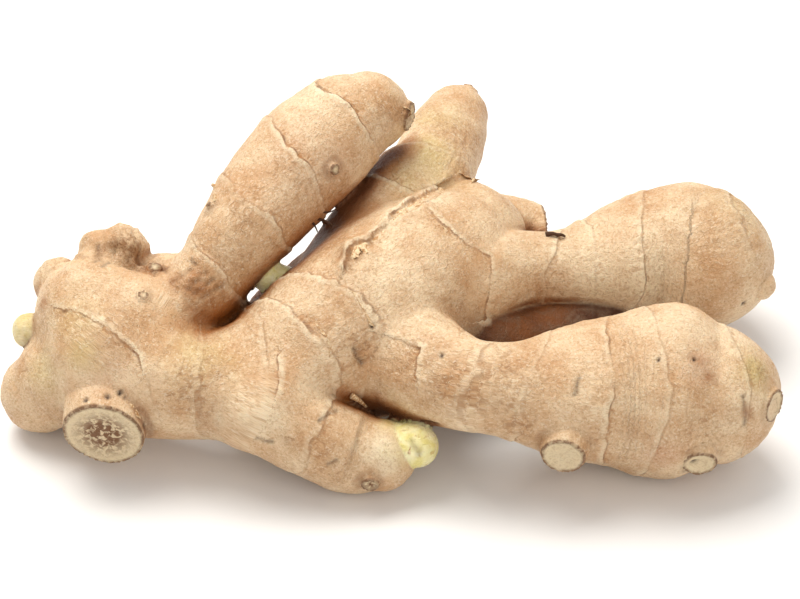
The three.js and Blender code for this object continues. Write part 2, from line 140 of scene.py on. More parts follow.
# %% White acrylic table
TABLE_SIZE = 4.0
ACRYLIC_IOR = 1.49
ACRYLIC_ROUGHNESS = 0.28

material, tree, output = new_material("white_acrylic")
acrylic = add(tree, "ShaderNodeBsdfPrincipled", {
    "Base Color": from_hex("#F4F4F4"),
    "Roughness": ACRYLIC_ROUGHNESS,
    "IOR": ACRYLIC_IOR,
})
tree.links.new(acrylic.outputs["BSDF"], output.inputs["Surface"])
half = TABLE_SIZE / 2
table_mesh = bpy.data.meshes.new("table")
table_corners = [(-half, -half, 0), (half, -half, 0), (half, half, 0), (-half, half, 0)]
table_mesh.from_pydata(table_corners, [], [(0, 1, 2, 3)])
table_mesh.materials.append(material)
table = bpy.data.objects.new("table", table_mesh)
bpy.context.scene.collection.objects.link(table)
table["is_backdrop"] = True
print("table", TABLE_SIZE, "m wide")

# %% [markdown]
# The light is a large soft box above and a little behind, so the tops are bright and a soft shadow falls
# towards the camera. A weaker one in front keeps the shaded sides warm instead of black, and a white
# surround, as in a light tent, fills the rest.

# %% Soft boxes
TENT_STRENGTH = 0.58


def soft_box(name, place, size, watts, colour):
    """A square soft box that points at the middle of the ginger."""
    light_data = bpy.data.lights.new(name, "AREA")
    light_data.shape = "SQUARE"
    light_data.size = size
    light_data.energy = watts
    light_data.color = from_hex(colour)[:3]
    light = bpy.data.objects.new(name, light_data)
    light.location = Vector(place)
    light.rotation_euler = (light.location - AIM).to_track_quat("Z", "Y").to_euler()
    bpy.context.scene.collection.objects.link(light)
    print(name, watts, "W,", size, "m wide")


soft_box("top_soft_box", (-0.25, 0.35, 0.95), 0.8, 13.0, "#FFFBF4")
soft_box("front_soft_box", (0.5, -0.9, 0.7), 0.9, 3.2, "#FFF6EA")

world = bpy.data.worlds.new("light_tent")
bpy.context.scene.world = world
world.use_nodes = True
tent = world.node_tree.nodes["Background"]
tent.inputs["Color"].default_value = from_hex("#FFFFFF")
tent.inputs["Strength"].default_value = TENT_STRENGTH
bpy.context.scene.view_settings.view_transform = "Standard"
print("light tent of strength", TENT_STRENGTH)

# %% [markdown]
# The rhizome's shape is a plan of limbs: each finger, knob or stub is a bent centre line with a radius at
# each point, in millimetres. It is the same plan that the fixed frame was made from, so the fine mesh
# lands on it. A limb's rings are given as [distance along it, lean of the ring's top, lean of its left
# side], and a fourth number below 1 makes a ring fainter. Its melt is how softly its root runs into the
# limbs before it, and over what length. A cut end has the direction of its face, and a dish is how deep
# the face has sunk.

# %% Plan of the limbs
LAYOUT_CENTRE = np.array([-1.37, 11.11, 0.0])

LIMBS = {
    "trunk": {
        "line": [
            [-50.5, -19.5, 17, 10], [-39.5, -22, 17, 10.5], [-28, -19.5, 18.5, 12],
            [-15, -12.5, 21.5, 15.5], [-3, -2.5, 24, 17], [8.5, 9, 25, 15.5], [15, 17, 25, 11.5],
        ],
        "rings": [
            [2.5, -0.1, -0.3, 0.35], [11.8, 0, 0.05, 0.3], [24.1, 0.1, 0.2, 0.7], [27.5, 0.3, -0.3, 0.9],
            [32.8, 0.5, -0.4, 1],
        ],
    },
    "crown": {
        "line": [[-47.5, -19.5, 18, 9.5], [-57, -15, 22, 12.5], [-61.5, -9.5, 24.5, 12]],
        "melt": (8, 14),
    },
    "knob": {
        "line": [[-58, -5.5, 26, 9.5], [-59, -1, 29.5, 7.6], [-57.3, 1.5, 32.2, 6]],
        "melt": (5, 8),
    },
    "knob_edge": {
        "line": [[-60, -2, 28, 6], [-61.4, 1.5, 33.4, 4.2]],
        "melt": (3, 6),
    },
    "heel": {
        "line": [[-60, -16, 18, 12], [-68, -14.5, 13, 10.5], [-73.4, -14, 8.8, 8.4]],
        "melt": (7, 12),
        "rings": [[12, 0, 0, 0.3]],
    },
    "shoulder": {
        "line": [[-50.5, -10.5, 25, 9], [-50, -2, 27.8, 5.2], [-45.5, -1, 29, 4.2]],
        "melt": (5, 14),
    },
    "left_lump": {
        "line": [[-66, -5, 24, 8], [-70, 0.5, 25.5, 5.2]],
        "melt": (6, 10),
    },
    "left_bud": {
        "line": [[-70, -9, 20.5, 3.6], [-75.6, -8, 21, 3.1], [-76.2, -8, 19.6, 3]],
        "melt": (1.5, 6),
    },
    "front_stub": {
        "line": [[-58.5, -20, 17, 9], [-59.2, -33, 13.4, 8]],
        "melt": (5, 8),
        "cut": [-0.1, -0.99, -0.1],
        "dish": 0.6,
    },
    "raised_finger": {
        "line": [
            [-46, -9, 26, 7.5], [-42, -7.5, 28.2, 7.8], [-37, -3, 32.6, 8], [-31.5, 3.2, 38.4, 9.8],
            [-22.4, 14.6, 43.8, 11.5], [-13.3, 24.6, 47.2, 11], [-6.4, 29.8, 48.2, 8.4],
        ],
        "melt": (3, 9),
        "rings": [[13.3, 0, 0.35], [26.6, -0.1, 0.25], [39.3, 0, 0.35], [56.8, -0.4, 0.15]],
    },
    "back_finger": {
        "line": [
            [-14, 6, 20, 9], [-7, 13.5, 26.5, 9.8], [1, 25.8, 29, 10.2], [5.8, 33, 29.5, 9.4],
            [10, 47.3, 29, 8.6], [12, 56, 28.8, 7.3],
        ],
        "melt": (5, 25),
        "rings": [[20, 0.2, 0], [36.3, -0.3, -0.3]],
    },
    "side_stub": {
        "line": [[14, 22, 24, 8.5], [25.5, 25.5, 22.5, 5.8], [30.8, 23.6, 21.2, 4.4]],
        "melt": (6, 10),
        "cut": [0.95, 0.1, 0],
        "dish": 0.5,
    },
    "long_finger": {
        "line": [
            [4, 1, 23, 13], [14, 4, 24, 11.3], [25, 8, 23.5, 8.3], [34, 10.5, 21.8, 8.1],
            [42, 13.5, 20.5, 10.7], [50.5, 17.5, 20, 13.4], [59.5, 19, 19, 15.5], [64, 18, 19, 15],
        ],
        "melt": (6, 14),
        "rings": [
            [28.7, 0, 0.5, 0.8], [34.6, 0.2, 0.1, 0.8], [46.8, 0.15, 0.35, 0.8], [72.7, -0.3, -0.5, 0.5],
        ],
    },
    "thick_finger": {
        "line": [
            [-2, -12, 19.2, 14], [6.5, -22, 21.5, 10.6], [13.5, -27.5, 22.2, 9.2],
            [21, -28.5, 21.5, 9.7], [32, -27, 19.5, 12.5], [43, -24, 17.5, 15.5],
            [54.5, -23.5, 17, 17.5], [62.6, -24, 16.5, 14],
        ],
        "melt": (8, 13),
        "rings": [
            [26, -0.1, 0.25, 0.6], [35, 0, 0.4, 0.6], [51, -0.2, 0.4, 0.9], [58, 0.15, -0.15, 0.6],
            [76, 0, -0.3, 0.6],
        ],
    },
    "belly_stub": {
        "line": [[33.5, -30, 16, 8], [32, -41.5, 15.2, 4.3]],
        "melt": (5, 8),
        "cut": [-0.15, -0.97, -0.12],
        "dish": 0.4,
    },
    "sprouting_finger": {
        "line": [[-26.5, -29, 17, 9], [-18, -31, 12.5, 8.5], [-10, -32, 8.5, 8.7], [-4, -33.5, 8.2, 7]],
        "melt": (7, 14),
        "rings": [[10, 0, 0]],
    },
    "sprout": {
        "line": [[-3, -32.5, 10, 4.2], [3.4, -33.5, 11, 4]],
        "melt": (2, 4),
    },
    "foot": {
        "line": [[-5, -2, 14, 13], [-4, 12, 9.2, 10]],
        "melt": (6, 14),
    },
    "web": {
        "line": [[6, -4, 16, 12], [20, -3, 13, 8.5], [33, 1, 12, 7], [42, 6, 12, 6]],
        "melt": (6, 14),
    },
    "flank": {
        "line": [[-27, -8, 17, 8], [-22, 3, 16.5, 8.3], [-14, 9, 19, 9]],
        "melt": (5, 10),
    },
    "rear_knob": {
        "line": [[-60, -4, 17, 8], [-61, 5, 12, 6.5]],
        "melt": (5, 10),
        "rings": [[6, 0, 0]],
    },
    "rear_stub": {
        "line": [[54, 20, 16, 8], [55, 34, 14, 5.8]],
        "melt": (5, 12),
        "cut": [0.1, 1, -0.1],
        "dish": 0.5,
    },
    "long_finger_tip": {
        "line": [[71, 13.5, 18, 5.5], [75.8, 10.8, 17.4, 3.2]],
        "melt": (3, 5),
    },
    "yellow_bud": {
        "line": [[-30, 0, 33, 3], [-27, -2, 29.8, 3.4], [-23.6, -3, 29, 3.1]],
        "melt": (1.5, 5),
    },
}
print(len(LIMBS), "limbs")

# %% [markdown]
# Where a root or a side shoot broke off, a small round scar is left. It is a very short limb with a cut
# end: it stands a little proud of the skin, its foot is wider than its face, and the face has dried and
# sunk. A scar is given by its place on the skin, the direction it looks in, and its radius.

# %% Round scars
SCARS = {
    "raised_finger_eye": ([-13.3, 8.6, 48.8], [0.57, -0.74, 0.37], 1.5),
    "raised_finger_tip": ([1.2, 27.6, 48.8], [0.94, -0.34, 0], 3),
    "raised_finger_nub": ([-38.4, 1.6, 45.2], [-0.76, -0.38, 0.53], 0.9),
    "thick_finger_scar": ([59.3, -38.6, 12], [0.05, -0.95, -0.28], 3.3),
    "thick_finger_tip": ([74, -30.4, 19], [0.82, -0.57, 0.08], 3.6),
    "sprouting_finger_scar": ([-6, -40, 7], [0, -0.98, -0.18], 2),
    "crown_eye": ([-51.4, -14.9, 34], [0.1, -0.15, 0.98], 1.1),
    "knob_eye": ([-50.1, -6, 33.8], [0.38, 0.1, 0.92], 0.9),
    "back_finger_tip": ([15, 62.8, 30.7], [0.4, 0.87, 0.29], 1.8),
    "long_finger_root_scar": ([70, 31.3, 13.6], [0.4, 0.85, -0.35], 2.4),
    "trunk_root_scar": ([-30, -13.5, 8.1], [0, 0.5, -0.87], 2.2),
    "thick_finger_root_scar": ([51.7, -8.2, 9.9], [0.1, 0.9, -0.42], 2.4),
    "raised_finger_root_scar": ([-29.3, 20.4, 36.7], [-0.6, 0.5, -0.62], 2),
}
SCAR_ROOT, SCAR_PROUD, SCAR_FLARE, SCAR_DISH = 3, 1.1, 1.35, 0.22

for name, (at, out, radius) in SCARS.items():
    at, out = np.array(at, float), np.array(out, float)
    LIMBS[name] = {
        "line": [[*(at - SCAR_ROOT * out), radius * SCAR_FLARE], [*(at + SCAR_PROUD * out), radius]],
        "melt": (1, SCAR_ROOT),
        "cut": out,
        "dish": SCAR_DISH * radius,
    }
print(len(SCARS), "round scars")

# %% [markdown]
# Each centre line becomes a smooth curve through its points, cut into short straight spans. The side and
# top directions of a limb are kept too, because its rings, its fibres and its marks are placed by the
# turn round it.

# %% Smooth centre lines
CURVE_STEPS = 6


def smooth_line(line):
    """Points of a Catmull-Rom curve through the plan's points, radius included."""
    rows = np.array(line, float)
    rows = np.vstack([rows[:1], rows, rows[-1:]])
    points = []
    for a, b, c, d in zip(rows, rows[1:], rows[2:], rows[3:]):
        for t in np.arange(CURVE_STEPS) / CURVE_STEPS:
            bend = (2 * a - 5 * b + 4 * c - d) * t ** 2 + (3 * b - a - 3 * c + d) * t ** 3
            points.append(0.5 * (2 * b + (c - a) * t + bend))
    points.append(rows[-1])
    return np.array(points)


def prepared(name, limb):
    """A limb with what its distance needs: its spans, its own directions and the box round it."""
    points = smooth_line(limb["line"])
    places, radii = points[:, :3] - LAYOUT_CENTRE, points[:, 3]
    steps = np.diff(places, axis=0)
    lengths = np.linalg.norm(steps, axis=1)
    run = (places[-1] - places[0]) / np.linalg.norm(places[-1] - places[0])
    side = np.cross([0, 0, 1], run)
    side /= np.linalg.norm(side)
    melt, melt_length = limb.get("melt", (0, 1))
    return {
        "name": name, "places": places, "radii": radii, "steps": steps, "lengths": lengths,
        "starts_along": np.concatenate([[0], np.cumsum(lengths)[:-1]]),
        "side": side, "top": np.cross(run, side), "rings": limb.get("rings", []),
        "melt": melt, "melt_length": melt_length,
        "cut": None if limb.get("cut") is None else np.array(limb["cut"]) / np.linalg.norm(limb["cut"]),
        "dish": limb.get("dish", 0),
        "low": places.min(0) - radii.max(), "high": places.max(0) + radii.max(),
    }


limbs = [prepared(name, limb) for name, limb in LIMBS.items()]
print("longest limb", round(max(limb["lengths"].sum() for limb in limbs), 1), "mm along its centre line")

# %% [markdown]
# Nothing on a root is even, so most of what follows is steered by noise. This one is smooth random lumps
# of a chosen size: every corner of a lattice gets a random height, and the space between is blended. The
# heights come from whole-number arithmetic on the corner's place, so every run gives the same lumps.

# %% Smooth random lumps
CORNER_MIX = (73856093, 19349663, 83492791, 2654435761)
LAST_MIX = 1274126177
HEIGHTS = 65536


def lumps(points, size, seed):
    """Noise from -1 to 1 with lumps of a size; size may be three sizes, one for each direction."""
    scaled = np.asarray(points) / size
    corner = np.floor(scaled).astype(np.int64)
    t = scaled - corner
    t = t * t * (3 - 2 * t)
    total = np.zeros(len(scaled))
    for step in np.ndindex(2, 2, 2):
        x, y, z = (corner + step).T
        mixed = x * CORNER_MIX[0] ^ y * CORNER_MIX[1] ^ z * CORNER_MIX[2] ^ seed * CORNER_MIX[3]
        mixed = (mixed ^ (mixed >> 13)) * LAST_MIX & 0x7FFFFFFF
        height = 2 * ((mixed ^ (mixed >> 15)) % HEIGHTS) / HEIGHTS - 1
        weight = np.prod(np.where(step, t, 1 - t), axis=1)
        total += weight * height
    return total


sample = lumps(np.random.default_rng(1).uniform(0, 500, (5000, 3)), 3.0, 1)
print("noise from", round(sample.min(), 2), "to", round(sample.max(), 2))

# %% [markdown]
# A node ring is the scar of a scale leaf that once wrapped the stem. Close up, the skin swells gently
# towards it and ends in a small ledge. The distance past the ring is kept, because the material draws the
# thin brown line, its papery edge and its rust flecks from it, finer than the mesh could. No ring is a
# clean circle: each has waves, given as how many go round, how high they are in mm and how they are
# shifted, and a ragged edge. Some stretches of it are clear and others are worn away.

# %% Node rings
RING_WAVES = [(3, 0.5, 1), (5, 0.3, 2)]
RING_SWELL, SWELL_WIDTH, LEDGE_WIDTH = 0.5, 2.6, 0.5
GROOVE_DEPTH, GROOVE_AT, GROOVE_WIDTH = 0.14, 0.75, 0.6
RAG, RAG_MM = 0.45, 1.6
CLEAR_MEAN, CLEAR_VARIES, CLEAR_MM, CLEAR_LEAST = 0.62, 0.6, 6.0, 0.1
PAST_MOST, SWITCH_MM = 6.0, 1.2
NOISE_APART = 37.0


def bump(x):
    """A round bump: 1 at 0, and almost 0 from 2 on, on both sides."""
    return np.exp(-x * x)


def ring_features(limb, along, to_side, to_top):
    """Height of the rings, the signed distance past the nearest one, and how clear that one is."""
    turn = np.arctan2(to_side, to_top)
    height, strength = np.zeros((2, len(along)))
    nearest, second = np.full((2, len(along)), PAST_MOST)
    for number, (at, lean_top, lean_side, *faint) in enumerate(limb["rings"]):
        past = along - at - lean_top * to_top - lean_side * to_side
        for count, wave, shift in RING_WAVES:
            past = past + wave * np.sin(count * turn + shift * at)
        round_ring = np.stack([to_side, to_top, np.full_like(along, NOISE_APART * number + at)], 1)
        past = past + RAG * lumps(round_ring, RAG_MM, 3)
        clear = np.clip(CLEAR_MEAN + CLEAR_VARIES * lumps(round_ring, CLEAR_MM, 4), CLEAR_LEAST, 1)
        clear = clear * (faint[0] if faint else 1)
        swell = bump(past / np.where(past < 0, SWELL_WIDTH, LEDGE_WIDTH))
        groove = bump((past - GROOVE_AT) / GROOVE_WIDTH)
        height += clear * (RING_SWELL * swell - GROOVE_DEPTH * groove)
        nearer = np.abs(past) < np.abs(nearest)
        second = np.minimum(second, np.where(nearer, np.abs(nearest), np.abs(past)))
        nearest = np.where(nearer, past, nearest)
        strength = np.where(nearer, clear, strength)
    return height, nearest, strength * np.clip((second - np.abs(nearest)) / SWITCH_MM, 0, 1)


print(sum(len(limb["rings"]) for limb in limbs), "node rings")

# %% [markdown]
# The distance of a point from a limb's skin is its distance from the centre line, less the radius there.
# A cut end is sliced off by a slightly dished plane. Besides its distance, a limb knows more about the
# point: ring heights, fibre noise along the limb, whether it is on a cut face, how young the tissue is
# there, and how much painted shade it carries. FEATURES are those that can be mixed where limbs meet.
# SWITCHED belong to one ring, one end or one centre line, so a mixture of two limbs' values would mean
# nothing.

# %% What one limb knows
LEAST_MELT = 0.6
HARD = 1e-6
FEATURES = ("ring_height", "fibre", "grain", "cut_face", "cut_radius", "young", "painted_shade", "pithy")
SWITCHED = ("ring_past", "ring_clear", "to_side", "to_top", "along", "cut_edge")
CUT_FAR = 5.0
CUT_SOFT = 0.5
FIBRE_SIZE = np.array([1.0, 1.0, 3.6])
GRAIN_SIZE = np.array([0.7, 0.7, 1.7])
YOUNG = {"sprout": 1.0, "yellow_bud": 0.85, "left_bud": 0.45}
# Painted shade: the web between the long and thick fingers and the flank under the raised finger are painted
# dark brown for the deep shade there.
PAINTED_SHADE_LIMBS = {"web": 1.0, "flank": 0.55}
PITHY = {
    "front_stub": 1.0, "side_stub": 0.4, "rear_stub": 0.6, "raised_finger_tip": 1.0,
    "sprouting_finger_scar": 1.0,
}


def ramp(t):
    """A soft step: 0 below 0, 1 above 1, and level at both ends in between."""
    s = np.clip(t, 0, 1)
    return s * s * (3 - 2 * s)


def limb_measures(limb, points, with_features):
    """The distance to a limb's skin, its melt softness, and its features, for points near it."""
    from_start = points[:, None] - limb["places"][None, :-1]
    reached = np.einsum("psk,sk->ps", from_start, limb["steps"]) / limb["lengths"] ** 2
    t = np.clip(reached, 0, 1)
    offset = from_start - t[..., None] * limb["steps"]
    span = np.argmin(np.einsum("psk,psk->ps", offset, offset), axis=1)
    row = np.arange(len(points))
    offset, t, reached = offset[row, span], t[row, span], reached[row, span]
    t_along = np.where(span == len(limb["steps"]) - 1, np.maximum(reached, 0), t)
    along = limb["starts_along"][span] + t_along * limb["lengths"][span]
    radius = limb["radii"][span] + t * np.diff(limb["radii"])[span]
    distance = np.linalg.norm(offset, axis=1) - radius
    own = {name: np.zeros(len(points)) for name in FEATURES + SWITCHED}
    own["cut_edge"] += CUT_FAR
    if limb["cut"] is not None:
        from_end = points - limb["places"][-1]
        out = from_end @ limb["cut"]
        squared = np.einsum("pk,pk->p", from_end, from_end) - out ** 2
        across = np.sqrt(np.maximum(squared, 0)) / limb["radii"][-1]
        plane = out + limb["dish"] * np.maximum(0, 1 - across ** 2)
        own["cut_face"] = ramp((plane - distance) / CUT_SOFT + 0.5)
        own["cut_edge"] = np.clip(distance - plane, -CUT_FAR, CUT_FAR)
        own["cut_radius"] = across
        distance = np.maximum(distance, plane)
    if limb["melt"]:
        melt = limb["melt"] * (1 - ramp(along / limb["melt_length"])) + LEAST_MELT
    else:
        melt = HARD
    if with_features:
        to_side, to_top = offset @ limb["side"], offset @ limb["top"]
        height, past, clear = ring_features(limb, along, to_side, to_top)
        straight = np.stack([to_side, to_top, along], 1)
        own["ring_height"], own["ring_past"], own["ring_clear"] = height, past, clear
        own["to_side"], own["to_top"], own["along"] = to_side, to_top, along
        own["fibre"] = lumps(straight, FIBRE_SIZE, 6)
        own["grain"] = lumps(straight, GRAIN_SIZE, 7)
        own["young"] += YOUNG.get(limb["name"], 0.0)
        own["painted_shade"] += PAINTED_SHADE_LIMBS.get(limb["name"], 0.0)
        own["pithy"] += PITHY.get(limb["name"], 0.0)
    return distance, melt, own


frame_middle = np.array([[0.0, -10.0, 22.0]])
trunk_distance = limb_measures(limbs[0], frame_middle, False)[0][0]
print("the frame's middle is", round(float(trunk_distance), 1), "mm from the trunk's skin")

# %% [markdown]
# The limbs are put together one after the other, and melt into each other by a smooth minimum. Its share,
# from 0 to 1, says whose skin a point is on, so the same share mixes the features, and nothing has a seam
# where limbs meet. The switched ones come from the limb with the greater share, and "sure" says how clear
# that choice is: it is 0 where two limbs are equally near. At the end the whole skin gets a slow
# unevenness, as in the frame.

# %% The whole skin
FAR = 1e3
NEAR_SKIN = 6
SURE_MM = 1.5
LUMP_HEIGHT, LUMP_WAVES = 0.35, (4.7, 5.3, 4.9)
SWELL_HEIGHT, SWELL_WAVES = 0.3, (7.9, 8.7)


def unevenness(points):
    """The slow unevenness in mm: two crossed waves, one of lumps and one of wider swellings."""
    x, y, z = points.T
    lump = np.sin(x / LUMP_WAVES[0] + 1) * np.sin(y / LUMP_WAVES[1]) * np.sin(z / LUMP_WAVES[2] + 2)
    swell = np.sin((x + y) / SWELL_WAVES[0]) * np.sin((z - x) / SWELL_WAVES[1] + 1)
    return LUMP_HEIGHT * lump + SWELL_HEIGHT * swell


def skin(points, with_features=False):
    """The distance of points from the skin in mm, and what the limbs know there."""
    distance = np.full(len(points), FAR)
    blended = {name: np.zeros(len(points)) for name in FEATURES + SWITCHED}
    blended["sure"] = np.ones(len(points))
    for limb in limbs:
        beyond = np.maximum(np.maximum(limb["low"] - points, points - limb["high"]), 0)
        near = np.flatnonzero(np.linalg.norm(beyond, axis=1) < NEAR_SKIN)
        if not len(near):
            continue
        own_distance, melt, own = limb_measures(limb, points[near], with_features)
        before = distance[near]
        gap = np.maximum(melt - np.abs(before - own_distance), 0) / melt
        distance[near] = np.minimum(before, own_distance) - gap ** 2 * melt / 4
        share = np.where(own_distance < before, 1 - gap / 2, gap / 2)
        if not with_features:
            continue
        for name in FEATURES:
            blended[name][near] += share * (own[name] - blended[name][near])
        for name in SWITCHED:
            blended[name][near] = np.where(share > 0.5, own[name], blended[name][near])
        margin = np.clip(np.abs(before - own_distance) / SURE_MM, 0, 1)
        blended["sure"][near] = np.where(share > 0.5, margin, np.minimum(blended["sure"][near], margin))
    return distance - unevenness(points), blended


print("the frame's middle is", round(float(skin(frame_middle)[0][0]), 1), "mm from the whole skin")

# %% [markdown]
# The fine mesh starts as a copy of the frame's node. A voxel remesh gives even faces of about half a
# millimetre all over, and each vertex is then moved along its normal until it lies on the skin of the
# plan. Sliding the vertices towards their neighbours in between keeps the faces even.

# %% Fine mesh of the skin
VOXEL = 0.55 * MM

rough = bpy.data.objects.new("rough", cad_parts["rhizome"].data.copy())
bpy.context.scene.collection.objects.link(rough)
remesh = rough.modifiers.new("remesh", "REMESH")
remesh.mode = "VOXEL"
remesh.voxel_size = VOXEL
seen = rough.evaluated_get(bpy.context.evaluated_depsgraph_get())
skin_mesh = bpy.data.meshes.new_from_object(seen)
bpy.data.objects.remove(rough)
skin_mesh.materials.clear()

place = np.zeros((len(skin_mesh.vertices), 3))
skin_mesh.vertices.foreach_get("co", place.ravel())
place *= MM_PER_M
edge = np.zeros((len(skin_mesh.edges), 2), np.int64)
skin_mesh.edges.foreach_get("vertices", edge.ravel())
print(len(skin_mesh.vertices), "vertices,", len(skin_mesh.polygons), "faces")


def write_places():
    """Puts the places, in millimetres, into the mesh, and reads back its normals."""
    skin_mesh.vertices.foreach_set("co", (place * MM).ravel())
    skin_mesh.update()
    normal = np.zeros((len(place), 3))
    skin_mesh.vertex_normals.foreach_get("vector", normal.ravel())
    return normal


def neighbour_mean(values):
    """The mean over each vertex's neighbours."""
    ends = np.concatenate([edge[:, 0], edge[:, 1]])
    others = np.concatenate([edge[:, 1], edge[:, 0]])
    count = np.bincount(ends, minlength=len(place))
    sums = [np.bincount(ends, column, minlength=len(place)) for column in values[others].T]
    return np.stack(sums, 1) / count[:, None]


SETTLE_PASSES = 3
SLIDE_SHARE = 0.7
STEP_LIMIT = 1.0
TABLE_NEAR = 0.3
for _ in range(SETTLE_PASSES):
    normal = write_places()
    slide = neighbour_mean(place) - place
    slide -= np.einsum("pk,pk->p", slide, normal)[:, None] * normal
    place += SLIDE_SHARE * slide
    distance = skin(place)[0]
    place -= np.clip(distance, -STEP_LIMIT, STEP_LIMIT)[:, None] * normal
    place[:, 2] = np.maximum(place[:, 2], 0)
normal = write_places()
distance, feature = skin(place, with_features=True)
off_plan = np.abs(distance[place[:, 2] > TABLE_NEAR]).mean()
print("off the plan by", round(float(off_plan), 3), "mm on average")

# %% [markdown]
# Creases and hollows between fingers get painted shade, darker brown the deeper in they are. How deep in a
# crease a point is can be asked of the distance: from a point held away from the skin along the normal, the
# open skin is just as far, but in a crease another part of the ginger is nearer.

# %% Creases
CREASE_REACH = 2.5
HOLLOW_REACH = 6.0


def closeness(reach):
    """From 0 on open skin to 1 where another part of the ginger is within reach."""
    held_out = place + reach * normal
    nearest = np.minimum(skin(held_out)[0], reach)
    return np.clip(1 - nearest / reach, 0, 1)


crease_shade = closeness(CREASE_REACH)
hollow_shade = closeness(HOLLOW_REACH)
print("share of the skin in creases", round(float((hollow_shade > 0.3).mean()), 3))

# %% [markdown]
# Marks are what makes one ginger root different from the next: pits, cracks, root eyes, stains. Each is
# placed on its limb by the distance along it and the turn round it in degrees, with 0 on top, and is
# snapped to the nearest vertex. A mark's weight falls off with the distance from it, so it has no hard
# outline. Marks of one kind are listed by limb.

# %% Where a mark lies
SPOT_UNEVEN = 0.35
CRACK_WANDER, CRACK_WANDER_MM = 0.3, 1.2


def marks(by_limb):
    """The marks of a dictionary in a row, each with the name of its limb in front."""
    return [(name, *mark) for name, listed in by_limb.items() for mark in listed]


def nearest_vertex(point):
    """The number of the vertex of the skin that is nearest to a point."""
    return np.argmin(((place - point) ** 2).sum(1))


def on_limb(name, along, turn):
    """The vertex of the skin that is nearest to a place on a limb."""
    limb = next(limb for limb in limbs if limb["name"] == name)
    last_span = len(limb["steps"]) - 1
    span = int(np.clip(np.searchsorted(limb["starts_along"], along, "right") - 1, 0, last_span))
    t = (along - limb["starts_along"][span]) / limb["lengths"][span]
    middle = limb["places"][span] + t * limb["steps"][span]
    angle = math.radians(turn)
    outwards = math.cos(angle) * limb["top"] + math.sin(angle) * limb["side"]
    return place[nearest_vertex(middle + limb["radii"][span + 1] * outwards)]


def spot_weight(name, along, turn, size):
    """1 at a mark, falling to 0 about its size away, with an uneven edge."""
    away = np.linalg.norm(place - on_limb(name, along, turn), axis=1)
    return bump(away / size * (1 + SPOT_UNEVEN * lumps(place, 0.5 * size + 0.4, 8)))


def crack_weight(name, start, end, width):
    """1 along the straight line between two places on a limb, falling to 0 about its width away."""
    a, b = on_limb(name, *start), on_limb(name, *end)
    t = np.clip((place - a) @ (b - a) / ((b - a) @ (b - a)), 0, 1)
    wander = [CRACK_WANDER * lumps(place, CRACK_WANDER_MM, seed) for seed in (11, 12, 13)]
    away = np.linalg.norm(place + np.stack(wander, 1) - a - t[:, None] * (b - a), axis=1)
    return bump(away / width)


print("the trunk's 40 mm mark is at", np.round(on_limb("trunk", 40, 0), 1), "mm")
